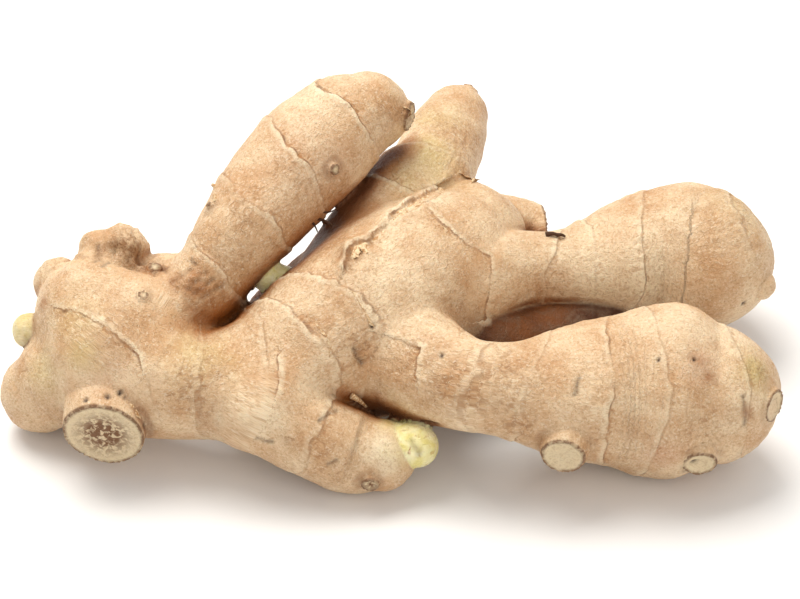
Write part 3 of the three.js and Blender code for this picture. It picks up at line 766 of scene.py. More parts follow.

# %% [markdown]
# The skin isn't one colour. It is green-yellow where light has reached young skin, rusty where it was
# bruised, brown where the cork is thick, and pinkish or pale where it is thin. The pale stains on the
# underside of the long finger are painted light instead. Scabs are brown and rough: there the cork has
# torn and healed. Lumpy places have no colour of their own: the skin is folded there.
# A stain is given as distance along the limb, turn, size in mm and strength.

# %% Stains and scabs
STAINS = {
    "young": {
        "heel": [(6.6, 42, 4.5, 0.4)],
        "crown": [(12.8, 62, 4, 0.4), (18, 50, 5, 0.25)],
        "trunk": [(10, -15, 5.5, 0.45)],
        "back_finger": [(34, -10, 7, 0.6), (30, 20, 6, 0.45), (46, 10, 6, 0.4), (24, -20, 5, 0.35)],
        "thick_finger": [(81.7, -21, 3.5, 0.7)],
        "sprouting_finger": [(24, 30, 4, 0.35), (29, -20, 3.5, 0.5)],
        "long_finger": [(74, 20, 7, 0.2)],
    },
    "rust": {
        "shoulder": [(6.5, -12, 1.2, 0.8)],
        "thick_finger": [
            (68.5, -27, 2.2, 0.5), (71.5, -38, 1.6, 0.7), (71.6, -7, 1.6, 0.45), (81, -63, 1.6, 0.9),
        ],
        "sprouting_finger": [(25.1, -97, 2.2, 0.7)],
        "raised_finger": [
            (3.4, -2, 2.2, 0.6), (4.9, -34, 3.2, 0.75), (3.2, -77, 3.5, 0.9), (6, -124, 4, 0.9),
            (4.5, -100, 5, 1), (9, -120, 5, 0.8),
        ],
        "crown": [(28.4, 74, 1.4, 0.7)],
        "left_lump": [(7.1, 75, 1.6, 0.6)],
        "web": [(17.3, -35, 6, 0.55), (24, -10, 6, 0.5)],
        "trunk": [
            (34.1, -106, 4, 0.9), (62, 2, 2.2, 0.4), (46, -3, 2.4, 0.5), (13, 40, 5, 0.8),
            (20, 55, 5, 0.6),
        ],
        "front_stub": [(10.5, 61, 1.8, 0.6)],
        "flank": [(8, 60, 8, 0.7)],
    },
    "scab": {
        "knob": [(11.3, -1, 2.2, 0.8), (10.2, -26, 2.6, 0.9), (9, -50, 2.2, 0.7)],
        "crown": [(27.4, -11, 1.6, 0.8)],
        "shoulder": [(7.4, 7, 1.4, 0.7)],
        "trunk": [(38.5, -68, 1.8, 0.4), (46, 0, 2.6, 0.6)],
        "raised_finger": [(65, -75, 2.6, 0.8)],
        "sprouting_finger": [(6, -70, 1.6, 0.4), (25.1, -97, 1.8, 0.9)],
        "thick_finger": [(83.6, -20, 2.2, 0.5)],
        "back_finger": [(35, -70, 2, 0.4)],
    },
    "brown": {
        "trunk": [
            (40, -63, 6, 0.7), (38, -45, 5, 0.35), (30, 62, 8, 0.7), (45, 30, 7, 0.5), (6, -55, 8, 0.6),
            (60, -70, 6, 0.4),
        ],
        "thick_finger": [
            (19.3, -56, 4.5, 0.85), (21, -35, 3.5, 0.6), (24.6, -61, 3.2, 0.8), (31, -70, 3, 0.6),
            (9, -40, 6, 0.5), (34, -95, 4, 0.8), (72, -75, 6, 0.45), (50, -95, 6, 0.4), (28, -35, 4, 0.5),
            (31, -20, 6, 0.6),
        ],
        "raised_finger": [
            (6, -95, 7, 0.9), (12, -110, 8, 0.9), (24, -115, 8, 0.8), (38, -115, 7, 0.7),
            (22, -30, 4, 0.5), (35, -50, 5, 0.45), (9, -40, 5, 0.6), (61, -60, 4, 0.5),
        ],
        "crown": [(10, 20, 6, 0.3)],
        "front_stub": [(5, -120, 4, 0.6)],
        "sprouting_finger": [(15, -80, 6, 0.4)],
        "back_finger": [(32, -80, 4, 0.5), (44, -30, 8, 0.5)],
        "long_finger": [(26, -60, 5, 0.35), (62, -20, 9, 0.3)],
        "knob": [(10, -40, 5, 0.55)],
        "heel": [(4, 10, 6, 0.3), (8, -20, 5, 0.35)],
        "shoulder": [(8, -10, 4, 0.4)],
        "web": [(8, -60, 4, 0.7)],
    },
    "lumpy": {
        "knob": [(13, 0, 5.5, 1), (8, -60, 4.5, 1), (9, 60, 4.5, 1)],
        "left_lump": [(6, 0, 5, 0.9)],
        "shoulder": [(9, 0, 5, 0.9)],
        "crown": [(26, -5, 5, 0.7)],
        "raised_finger": [(5, -30, 4.5, 0.7)],
        "trunk": [(47, 3, 4, 0.8), (40, -65, 4, 0.25)],
    },
    "pink": {
        "thick_finger": [(64.8, -97, 4, 0.5), (69.8, -29, 4, 0.4)],
        "front_stub": [(3, 0, 6, 0.3)],
        "raised_finger": [(40, -60, 10, 0.25)],
    },
    "pale": {
        "sprouting_finger": [(24.6, -37, 4.2, 1), (0, -54, 3.5, 0.4)],
        "thick_finger": [(8, 0, 8, 0.35), (62, 5, 9, 0.3)],
        "raised_finger": [(52, 20, 9, 0.25)],
        "trunk": [(30, 10, 8, 0.35), (63, 5, 3, 0.7), (70, 6, 3.2, 0.7), (58, 1, 2.6, 0.6)],
        # The long finger's two pale stains are painted light: its shaded underside is made paler.
        "long_finger": [(36, -75, 8, 0.9), (45, -80, 7, 0.9)],
        "knob": [(15.2, -32, 3, 0.5)],
        "back_finger": [(14, 30, 5, 0.3)],
    },
}

stain = {}
for kind, spots in STAINS.items():
    stain[kind] = np.zeros(len(place))
    for *where, strength in marks(spots):
        stain[kind] = np.maximum(stain[kind], strength * spot_weight(*where))
print({kind: len(marks(spots)) for kind, spots in STAINS.items()})

# %% [markdown]
# Pits are where thin roots were pulled out, and cracks are splits in the dry skin. Both are cut into the
# mesh and are dark inside. Furrows are soft folds, only a little darker: they run along the squeezed root
# of the raised finger and across the lumpy knobs. A pit has a place and a size, a crack or furrow two
# ends and a width.

# %% Pits and cracks
PITS = {
    "front_stub": [(10.4, -22, 0.5), (9.4, 9, 0.55), (8.4, 24, 0.5), (13.6, -143, 0.8)],
    "thick_finger": [
        (61.6, -30, 0.35), (68.5, -27, 0.4), (16.7, -28, 0.5), (70.5, -106, 0.6), (48, 175, 0.8),
        (60, 150, 0.9),
    ],
    "long_finger": [(70.5, -104, 0.5), (52, 160, 0.8), (60, -170, 0.7)],
    "trunk": [(43.5, -53, 0.5), (10, 170, 0.8), (22, 150, 0.7)],
    "raised_finger": [(50, 160, 0.7)],
    "back_finger": [(30, 140, 0.8)],
    "heel": [(8, 175, 0.8)],
}
CRACKS = {
    "trunk": [((38.3, -61), (38.8, -75), 0.4), ((36, 165), (41, 150), 0.45)],
    "sprouting_finger": [
        ((10.1, -28), (12.9, -2), 0.4), ((15.3, -74), (16.2, -66), 0.35), ((0, -90), (3, -84), 0.5),
    ],
    "thick_finger": [
        ((45.5, -37), (45.4, -53), 0.4), ((79.6, -50), (81, -74), 0.45), ((13.3, -123), (17, -118), 0.6),
    ],
    "crown": [((23.5, -17), (23.5, -4), 0.45), ((28.2, -14), (26, -4), 0.6)],
    "raised_finger": [((8.3, -9), (8.8, 2), 0.4)],
    "sprout": [((6.3, -34), (7.9, -77), 0.5)],
    "front_stub": [((9.1, 33), (11.6, 81), 0.45)],
    "long_finger": [((56, 120), (58, 100), 0.4)],
}
FURROWS = {
    "raised_finger": [
        ((2.4, -2), (6.5, -6), 0.6), ((3.6, -24), (8.5, -28), 0.6), ((4.0, -34), (8.5, -42), 0.55),
        ((3.8, -46), (9, -56), 0.65),
    ],
    "knob": [((7, -60), (11.5, -45), 0.6), ((8, -30), (13, -22), 0.6), ((8, -5), (12, 4), 0.55)],
    "crown": [((24, -12), (28, -6), 0.7)],
    "shoulder": [((5, -20), (9, -8), 0.5), ((8, 4), (12, 16), 0.5)],
}

# Each kind: its marks, the function that weighs them, how deep they are in mm and how dark.
CARVED_MARKS = [
    (PITS, spot_weight, 0.6, 1.3),
    (CRACKS, crack_weight, 0.35, 0.6),
    (FURROWS, crack_weight, 0.5, 0.22),
]

carved, dark = np.zeros((2, len(place)))
for by_limb, weigh, depth, darkness in CARVED_MARKS:
    for mark in marks(by_limb):
        weight = weigh(*mark)
        carved += depth * weight
        dark = np.maximum(dark, np.clip(darkness * weight, 0, 1))
print(len(marks(PITS)), "pits,", len(marks(CRACKS)), "cracks and", len(marks(FURROWS)), "furrows")

# %% [markdown]
# Some leaf scars don't go round a limb squarely but run over several limbs. Their lines are given as a
# row of places on the limbs. The biggest is the torn ledge between the trunk and the back finger: the
# skin stops there in a papery step. Each scar is given by the height of its step in mm and its row of
# places.

# %% Leaf scars that cross limbs
LEAF_SCARS = {
    "head_line": (0.3, {
        "crown": [(24.1, 61), (17, 41), (11.3, 30), (8.1, 31), (3.8, 34), (1.7, 44)],
    }),
    "torn_ledge": (1.5, {
        "trunk": [(43.9, -7), (45.7, -2), (48.6, 4), (51.5, 1), (56.9, 3), (61, 10), (66.5, 12)],
        "back_finger": [(28.6, -54)],
    }),
    "inner_line": (0.35, {
        "trunk": [(75.3, 9), (66.6, 1), (60.9, 3), (57.5, 2)],
    }),
    "arm_line": (0.5, {
        "trunk": [(67.3, -1), (68.3, -23), (70.5, -41)],
        "long_finger": [(12.4, -31), (12.1, -56), (11.3, -79)],
        "web": [(9.6, -25)],
        "thick_finger": [(19.3, 20)],
    }),
    "finger_line": (0.4, {
        "trunk": [(25, -38)],
        "sprouting_finger": [(0, -7), (0, -25)],
    }),
    "thick_root_line": (0.45, {
        "trunk": [(43.7, -58)],
        "thick_finger": [(11, -32), (11.5, -63)],
    }),
}
SCAR_REACH = 5.0
BEFORE_STEP, AFTER_STEP = 2.8, 0.35
LINE_WANDER, LINE_WANDER_MM = 0.45, 1.6
LEDGE_MEAN, LEDGE_VARIES, LEDGE_MM = 0.7, 0.6, 4.0
LINE_MEAN, LINE_VARIES, LINE_MM = 0.7, 0.5, 3.0
LEAST_SEEN = 0.2


def past_line(spots):
    """How far each vertex lies past a row of places: over 0 to the right of its run, under 0 to the left."""
    corners = np.array([on_limb(*spot) for spot in spots])
    nearest, signed = np.full((2, len(place)), PAST_MOST)
    wander = LINE_WANDER * np.stack([lumps(place, LINE_WANDER_MM, seed) for seed in (31, 32, 33)], 1)
    for a, b in zip(corners, corners[1:]):
        reach = np.linalg.norm(b - a)
        t = np.clip((place + wander - a) @ (b - a) / reach ** 2, 0, 1)
        off = place + wander - a - t[:, None] * (b - a)
        away = np.linalg.norm(off, axis=1)
        right = np.einsum("pk,pk->p", np.cross((b - a) / reach, normal), off)
        closer = away < nearest
        nearest[closer] = away[closer]
        signed[closer] = (np.sign(right) * away)[closer]
    return signed


ring_past = feature["ring_past"].copy()
ring_clear = feature["ring_clear"] * (1 - feature["cut_face"]) * np.clip(2 * feature["sure"], 0, 1)
ledge = np.zeros(len(place))
whole_ledge = np.clip(LEDGE_MEAN + LEDGE_VARIES * lumps(place, LEDGE_MM, 34), LEAST_SEEN, 1)
clear_line = np.clip(LINE_MEAN + LINE_VARIES * lumps(place, LINE_MM, 35), LEAST_SEEN, 1)
for step, by_limb in LEAF_SCARS.values():
    past = past_line(marks(by_limb))
    near = np.abs(past) < SCAR_REACH
    ledge += near * step * bump(past / np.where(past < 0, BEFORE_STEP, AFTER_STEP)) * whole_ledge
    nearer = near & (np.abs(past) < np.abs(ring_past))
    apart = np.clip(np.abs(np.abs(past) - np.abs(ring_past)) / SWITCH_MM, 0, 1)
    ring_past = np.where(nearer, past, ring_past)
    ring_clear = np.where(nearer, clear_line, ring_clear) * np.where(near, apart, 1)
print(len(LEAF_SCARS), "leaf scars, the highest step", max(step for step, _ in LEAF_SCARS.values()), "mm")

# %% [markdown]
# The relief of the skin is all the heights added up: the rings, slow dents a few millimetres wide,
# wrinkles that run along each limb, and a fine grain. Rust is a little rough, scabs are crumpled and
# lumpy places are folded. Cut faces are dry and pithy: they sink a little between their fibres, most in
# the middle. A young bud is smooth and glossy, so the roughness fades there.

# %% Relief of the skin
# Heights in mm.
DENT, WRINKLE, GRAIN, RUST_ROUGH, CRUMPLE, FINE_CRUMPLE = 0.3, 0.1, 0.1, 0.2, 0.6, 0.35
FOLD, FINE_FOLD, PITH, FACE_ROUGH = 1.15, 0.35, 0.6, 0.16
FOLD_SIZE = np.array([3.4, 3.4, 2.6])
GLOSS_SMOOTHS = 0.85
PITH_RADIUS = 0.85


def crests(size, seed):
    """Noise with sharp crests, as in crumpled paper: 1 on the crests, and down to -1 between them."""
    return 1 - 2 * np.abs(lumps(place, size, seed))


cut_face = feature["cut_face"]
open_skin = 1 - cut_face
glossy = np.clip(feature["young"], 0, 1)
matt = open_skin * (1 - GLOSS_SMOOTHS * glossy)
relief = (feature["ring_height"] + ledge) * matt
relief += DENT * matt * (0.6 * lumps(place, 7.0, 21) + 0.4 * lumps(place, 3.2, 22))
wrinkled = 0.55 + 0.45 * lumps(place, 9.0, 26) + 0.6 * np.clip(1 - np.abs(ring_past) / 3, 0, 1)
relief += matt * wrinkled * (WRINKLE * feature["fibre"] + GRAIN * feature["grain"])
relief += RUST_ROUGH * stain["rust"] * lumps(place, 1.3, 23)
relief += stain["scab"] * (CRUMPLE * crests(2.2, 27) + FINE_CRUMPLE * lumps(place, 1.0, 28))
relief += stain["lumpy"] * (FOLD * crests(FOLD_SIZE, 36) + FINE_FOLD * lumps(place, 1.4, 37))
middle = np.clip(1 - feature["cut_radius"] / PITH_RADIUS, 0, 1) * feature["pithy"]
relief -= PITH * cut_face * middle * (0.6 + 0.6 * lumps(place, 1.1, 24))
relief += FACE_ROUGH * cut_face * (lumps(place, 0.9, 25) + lumps(place, 2.0, 29))
relief -= carved

# What touches the table stays flat, and the relief grows over the first millimetre above it.
FLAT_BELOW, RELIEF_GROWS = 0.05, 0.8
off_table = ramp((place[:, 2] - FLAT_BELOW) / RELIEF_GROWS)
place += (relief * off_table)[:, None] * normal
place[:, 2] = np.maximum(place[:, 2], 0)
normal = write_places()
print("relief from", round(float(relief.min()), 2), "to", round(float(relief.max()), 2), "mm")

# %% [markdown]
# What the material needs to know is stored with the vertices as named attributes, which its nodes read.
# The place along and round the limb is one of them, a little compressed along the limb to draw its fibres
# out.

# %% Attributes for the material
attributes = {
    "ring_past": ring_past,
    "ring_clear": ring_clear * matt,
    "cut_face": cut_face,
    "cut_edge": feature["cut_edge"],
    "cut_middle": middle * cut_face,
    "young": np.clip(stain["young"], 0, 1) * open_skin,
    "glossy": glossy * open_skin,
    "painted_shade": feature["painted_shade"] * open_skin,
    "rust": stain["rust"],
    "scab": stain["scab"],
    "brown": stain["brown"],
    "pink": stain["pink"],
    "pale": stain["pale"],
    "dark": dark,
    # Painted shade masks: how deep in a crease or a hollow each point lies.
    "crease_shade": crease_shade,
    "hollow_shade": hollow_shade,
    "sure": feature["sure"],
}
for name, values in attributes.items():
    layer = skin_mesh.attributes.new(name, "FLOAT", "POINT")
    layer.data.foreach_set("value", values.astype(np.float32))
ALONG_SCALE = 0.9
straight = np.stack([feature["to_side"], feature["to_top"], ALONG_SCALE * feature["along"]], 1)
layer = skin_mesh.attributes.new("straight", "FLOAT_VECTOR", "POINT")
layer.data.foreach_set("vector", straight.astype(np.float32).ravel())
skin_mesh.polygons.foreach_set("use_smooth", np.ones(len(skin_mesh.polygons), bool))
print(sorted(attributes))

# %% [markdown]
# Ginger skin is a thin layer of dry cork over pale flesh. Its grain is made of patterns of very different
# sizes: clouds and blotches some millimetres wide, crepe wrinkles finer than half a millimetre, dashes of
# fibre about a millimetre long, and pores. Crepe and dashes are drawn from the place along and round the
# limb, and where two limbs meet and that place isn't sure, an even noise takes over.

# %% Patterns of the cork
# Each pattern: its size in mm, its detail, its distortion, and whether it follows the limb.
PATTERNS = {
    "cloud": (9.0, 4.0, 0.0, False),
    "blotch": (3.2, 4.0, 0.6, False),
    "crepe": (0.42, 3.0, 0.9, True),
    "dash": (1.0, 4.0, 0.6, True),
    "pore": (0.28, 2.0, 0.0, False),
    "pith": (0.7, 4.0, 1.5, False),
}

cork, tree, output = new_material("corky_ginger_skin")
object_place = add(tree, "ShaderNodeTexCoord").outputs["Object"]
limb_place = add(tree, "ShaderNodeAttribute", attribute_name="straight").outputs["Vector"]
known = {}
for name in attributes:
    known[name] = add(tree, "ShaderNodeAttribute", attribute_name=name).outputs["Fac"]
for name, (size, detail, distortion, follows_limb) in PATTERNS.items():
    kind = {"Detail": detail, "Distortion": distortion}
    even = add(tree, "ShaderNodeTexNoise", {"Vector": object_place, "Scale": 1 / MM / size, **kind})
    known[name] = even.outputs["Fac"]
    if follows_limb:
        drawn = add(tree, "ShaderNodeTexNoise", {"Vector": limb_place, "Scale": 1 / size, **kind})
        both = add(tree, "ShaderNodeMix", {
            0: known["sure"], 2: even.outputs["Fac"], 3: drawn.outputs["Fac"],
        })
        known[name] = both.outputs[0]
print(len(PATTERNS), "patterns, the finest", min(size for size, *_ in PATTERNS.values()), "mm")

# %% [markdown]
# The colour is built up like a painting: a tan ground, and layers over it, each held to its place by
# masks that are multiplied. A mask names a pattern or an attribute, then the value where the layer starts
# and the value where it is full, and last its shares there where they aren't 0 and 1. A start above the
# full value turns a mask round.

# %% Layers of colour
CORK_GROUND = "#CDA378"
CORK_LAYERS = [
    ("#E9CEA9", ("cloud", 0.34, 0.66)),
    ("#BE9062", ("blotch", 0.5, 0.72, 0, 0.3)),
    ("#EBD6B4", ("blotch", 0.45, 0.28, 0, 0.35)),
    # Thin pale cork, with painted light under the long finger, thin pinkish cork, and young green-yellow
    # skin.
    ("#EFDDBB", ("pale", 0, 1)),
    ("#CFA183", ("pink", 0, 1)),
    ("#CFC07C", ("young", 0, 1, 0, 0.9)),
    # Thick brown cork in patches, with darker dashes.
    ("#B07A45", ("brown", 0, 1, 0, 0.75), ("blotch", 0.25, 0.6, 0.5, 1)),
    ("#7F4F26", ("brown", 0, 1), ("blotch", 0.25, 0.6, 0.5, 1), ("dash", 0.46, 0.6, 0, 0.75)),
    # Fibres all over, and on the crepe wrinkles painted shade on one side and a painted highlight on the
    # other.
    ("#AE7F4F", ("dash", 0.55, 0.68, 0, 0.28)),
    ("#A0713F", ("crepe", 0.5, 0.68, 0, 0.42)),
    ("#F2E3C8", ("crepe", 0.45, 0.33, 0, 0.38)),
    # Painted shade in hollows and creases, and the darkest painted shade on the web and the flank between
    # limbs.
    ("#A8662E", ("hollow_shade", 0.4, 1, 0, 0.7)),
    ("#6E3C18", ("crease_shade", 0.1, 0.9, 0, 0.9)),
    ("#4E280C", ("painted_shade", 0, 1), ("blotch", 0.3, 0.6, 0.85, 1)),
    # Rust, and scabs with dark wrinkles and pale dashes.
    ("#98591F", ("rust", 0, 1), ("blotch", 0.3, 0.6, 0.35, 1)),
    ("#96683C", ("scab", 0, 1), ("dash", 0.35, 0.6, 0.45, 1)),
    ("#5E3818", ("scab", 0, 1), ("crepe", 0.5, 0.62, 0, 0.6)),
    ("#D9BC90", ("scab", 0, 1), ("dash", 0.42, 0.3, 0, 0.7)),
    # A ring: its papery edge before the line, rust flecks on both sides, and the thin broken brown line.
    ("#F0E0C0", ("ring_past", -1.3, -0.5), ("ring_past", 0.2, 0), ("ring_clear", 0, 1, 0, 0.6)),
    ("#A5692F", ("ring_past", -2.2, 0.4), ("ring_past", 2.4, 0.8), ("dash", 0.5, 0.6),
     ("ring_clear", 0, 1, 0, 0.6)),
    ("#73451F", ("ring_past", 0, 0.2), ("ring_past", 0.7, 0.4), ("dash", 0.62, 0.46, 0.15, 1),
     ("ring_clear", 0, 1, 0, 0.85)),
    # A cut face: pale pith with brown fibre ends, darkest in its middle, and a brown rim.
    ("#E0CBA6", ("cut_face", 0, 1)),
    ("#B08C62", ("pith", 0.48, 0.62, 0, 0.35), ("cut_face", 0, 1)),
    ("#7A5232", ("dash", 0.4, 0.55, 0, 1.8), ("cut_middle", 0, 1)),
    ("#6E4626", ("cut_edge", -0.9, -0.3), ("cut_edge", 0.7, 0.3), ("dash", 0.38, 0.54, 0.3, 0.85)),
    # The inside of pits and cracks.
    ("#33190B", ("dark", 0, 1)),
]


def painted(tree, known, ground, layers):
    """The colour of a ground with layers over it, held to their places by what is known there."""
    colour = from_hex(ground)
    for code, *masks in layers:
        share = None
        for name, low, high, *ends in masks:
            start, end = ends or (0, 1)
            mask = add(tree, "ShaderNodeMapRange", {
                "Value": known[name], "From Min": low, "From Max": high, "To Min": start, "To Max": end,
            }).outputs["Result"]
            if share is not None:
                mask = add(tree, "ShaderNodeMath", {0: share, 1: mask}, operation="MULTIPLY").outputs[0]
            share = mask
        over = {0: share, 6: colour, 7: from_hex(code)}
        colour = add(tree, "ShaderNodeMix", over, data_type="RGBA").outputs[2]
    return colour


cork_colour = painted(tree, known, CORK_GROUND, CORK_LAYERS)
print(len(CORK_LAYERS), "layers of colour")

# %% [markdown]
# A bud has a thin clear skin instead of cork: yellow-green with a few brown dashes, and glossy, and its
# ground is painted paler than its own yellow, as painted light. Dry cork is half matt, with a silky gloss on
# its pale wrinkles, whose paleness is a painted highlight. A little light goes into the flesh and comes out
# again, redder than it went in, which softens the shadows and warms the creases. The crepe, the pores and
# the dashes are too fine for the mesh, so they stand out only as bumps in the shading.

# %% Corky ginger skin
# Painted light: the ground is paler than a bud's own yellow, so the bud in the raised finger's shade looks
# lit.
BUD_GROUND_WITH_PAINTED_LIGHT = "#FCF3C4"
BUD_LAYERS = [
    ("#E8DA8A", ("blotch", 0.35, 0.65)),
    ("#B5863C", ("dash", 0.58, 0.7, 0, 0.5)),
    ("#6B4415", ("dark", 0, 1, 0, 0.9)),
]
SILKY_ROUGHNESS, MATT_ROUGHNESS, BUD_ROUGHNESS = 0.42, 0.66, 0.25
CREPE_DEPTH, DASH_DEPTH, PORE_SHARE = 0.26 * MM, 0.35 * MM, 0.35
CORK_IOR = 1.45
FLESH_SHARE, FLESH_DEPTH, FLESH_TINT = 0.1, 1.6 * MM, (1.0, 0.55, 0.28)

bud_colour = painted(tree, known, BUD_GROUND_WITH_PAINTED_LIGHT, BUD_LAYERS)
on_bud = add(tree, "ShaderNodeMapRange", {"Value": known["glossy"], "From Min": 0.25, "From Max": 0.6})
colour = add(tree, "ShaderNodeMix", {
    0: on_bud.outputs["Result"], 6: cork_colour, 7: bud_colour,
}, data_type="RGBA")

pitted = add(tree, "ShaderNodeMath", {
    0: known["pore"], 1: PORE_SHARE, 2: known["crepe"],
}, operation="MULTIPLY_ADD")
crepe_bump = add(tree, "ShaderNodeBump", {
    "Height": pitted.outputs[0], "Strength": 1.0, "Distance": CREPE_DEPTH,
}, invert=True)
dash_bump = add(tree, "ShaderNodeBump", {
    "Height": known["dash"], "Strength": 0.8, "Distance": DASH_DEPTH,
    "Normal": crepe_bump.outputs["Normal"],
}, invert=True)
cork_roughness = add(tree, "ShaderNodeMapRange", {
    "Value": known["crepe"], "From Min": 0.35, "From Max": 0.65,
    "To Min": SILKY_ROUGHNESS, "To Max": MATT_ROUGHNESS,
})
smooth_bud = add(tree, "ShaderNodeMapRange", {"Value": known["glossy"], "From Min": 0.2, "From Max": 0.6})
roughness = add(tree, "ShaderNodeMix", {
    0: smooth_bud.outputs["Result"], 2: cork_roughness.outputs["Result"], 3: BUD_ROUGHNESS,
})
skin_shader = add(tree, "ShaderNodeBsdfPrincipled", {
    "Base Color": colour.outputs[2],
    "Roughness": roughness.outputs[0],
    "IOR": CORK_IOR,
    "Subsurface Weight": FLESH_SHARE,
    "Subsurface Radius": FLESH_TINT,
    "Subsurface Scale": FLESH_DEPTH,
    "Normal": dash_bump.outputs["Normal"],
})
tree.links.new(skin_shader.outputs["BSDF"], output.inputs["Surface"])
skin_mesh.materials.append(cork)
print("skin material of", len(tree.nodes), "nodes")

# %% [markdown]
# The fine skin becomes the one object that stands in for the frame's node.

# %% The ginger
ginger = bpy.data.objects.new("ginger_skin", skin_mesh)
bpy.context.scene.collection.objects.link(ginger)
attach(ginger, "root")
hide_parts("rhizome")
print("the skin replaces the node rhizome, with", len(skin_mesh.vertices), "vertices")

# %% [markdown]
# What is loose on the skin is built as thin pieces of its own: torn papery strips of the old scale
# leaves, which stand up along the scars, and a few dry rootlets. Dry leaf is pale and matt, with brown
# patches.

# %% Dry scale leaf
LEAF_PATCH_MM = 0.8
LEAF_ROUGHNESS, LEAF_BUMP = 0.7, 0.2 * MM

dry, tree, output = new_material("dry_scale_leaf")
patches = add(tree, "ShaderNodeTexNoise", {
    "Vector": add(tree, "ShaderNodeTexCoord").outputs["Object"],
    "Scale": 1 / MM / LEAF_PATCH_MM, "Detail": 4.0, "Distortion": 0.8,
})
patch = {"patch": patches.outputs["Fac"]}
leaf_bump = add(tree, "ShaderNodeBump", {
    "Height": patch["patch"], "Strength": 0.8, "Distance": LEAF_BUMP,
})
dry_leaf = add(tree, "ShaderNodeBsdfPrincipled", {
    "Base Color": painted(tree, patch, "#E8D0A8", [("#B08050", ("patch", 0.4, 0.62))]),
    "Roughness": LEAF_ROUGHNESS,
    "IOR": CORK_IOR,
    "Normal": leaf_bump.outputs["Normal"],
})
tree.links.new(dry_leaf.outputs["BSDF"], output.inputs["Surface"])
print("dry leaf of", len(tree.nodes), "nodes")

# %% [markdown]
# A strip is a sheet between two faces 0.12 mm apart. Its foot is sunk in the skin, its free edge is
# ragged, and it leans over. Every loose piece rides on the root of the ginger.

# %% Torn strips of scale leaf
STRIP_STEP, STRIP_ROWS, STRIP_THICK, STRIP_SUNK = 0.45, 5, 0.12, 0.25
LEAST_STEP = 0.15
STRIP_SMOOTHINGS = 2
RAGGED_LOW, RAGGED_HIGH = 0.12, 1.2
END_STEPS, END_HEIGHT = 3, 0.15
LEAN_SINKS, RIPPLE, RIPPLE_MM = 0.35, 0.18, 0.9


def add_piece(name, points, faces, material):
    """A loose piece of the ginger, which moves with its root."""
    mesh = bpy.data.meshes.new(name)
    mesh.from_pydata([tuple(p) for p in np.asarray(points) * MM], [], faces)
    mesh.materials.append(material)
    mesh.polygons.foreach_set("use_smooth", np.ones(len(faces), bool))
    piece = bpy.data.objects.new(name, mesh)
    bpy.context.scene.collection.objects.link(piece)
    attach(piece, "root")


def closed_sheet(grid, thick):
    """Points and faces of a thin closed sheet round a grid of points."""
    rows, columns = grid.shape[:2]
    down, across = np.gradient(grid, axis=0), np.gradient(grid, axis=1)
    face_on = np.cross(down, across)
    face_on /= np.linalg.norm(face_on, axis=2)[..., None] + 1e-9
    both_sides = [grid + thick / 2 * face_on, grid - thick / 2 * face_on]
    points = np.concatenate([side.reshape(-1, 3) for side in both_sides])
    number = np.arange(rows * columns).reshape(rows, columns)
    under = rows * columns
    faces = []
    for i in range(rows - 1):
        for j in range(columns - 1):
            a, b, c, d = number[i, j], number[i + 1, j], number[i + 1, j + 1], number[i, j + 1]
            faces += [(a, b, c, d), (under + d, under + c, under + b, under + a)]
    rim = [*number[0], *number[1:, -1], *number[-1, -2::-1], *number[-2:0:-1, 0]]
    faces += [(a, under + a, under + b, b) for a, b in zip(rim, rim[1:] + rim[:1])]
    return points, [tuple(int(corner) for corner in face) for face in faces]


def torn_strip(name, spots, tall, lean, seed):
    """A ragged strip along a row of places on the limbs; lean over 0 tips it to the right of its run."""
    corners = np.array([on_limb(*spot) for spot in spots])
    stretches = []
    for a, b in zip(corners, corners[1:]):
        steps = max(2, int(np.linalg.norm(b - a) / STRIP_STEP))
        stretches.append(np.linspace(a, b, steps, endpoint=False))
    foot = np.concatenate(stretches + [corners[-1:]])
    hit = [nearest_vertex(point) for point in foot]
    foot, out = place[hit], normal[hit]
    keep = np.concatenate([[True], np.linalg.norm(np.diff(foot, axis=0), axis=1) > LEAST_STEP])
    foot, out = foot[keep], out[keep]
    for _ in range(STRIP_SMOOTHINGS):
        foot[1:-1] = (foot[:-2] + 2 * foot[1:-1] + foot[2:]) / 4
    forward = np.gradient(foot, axis=0)
    right = np.cross(forward, out)
    right /= np.linalg.norm(right, axis=1)[:, None] + 1e-9
    ragged = 0.55 + 0.5 * lumps(foot, 1.3, seed) + 0.35 * lumps(foot, 4.0, seed + 1)
    count = np.arange(len(foot))
    ends = np.clip(np.minimum(count, count[::-1]) / END_STEPS, END_HEIGHT, 1)
    reach = (tall * np.clip(ragged, RAGGED_LOW, RAGGED_HIGH) * ends)[:, None]
    ripple = RIPPLE * lumps(foot, RIPPLE_MM, seed + 2)[:, None]
    rows = []
    for share in np.linspace(0, 1, STRIP_ROWS):
        rise = share * reach * (1 - LEAN_SINKS * share * abs(lean))
        tip = lean * share ** 2 * reach + share * ripple
        rows.append(foot + (rise - STRIP_SUNK) * out + tip * right)
    add_piece(name, *closed_sheet(np.array(rows), STRIP_THICK), dry)


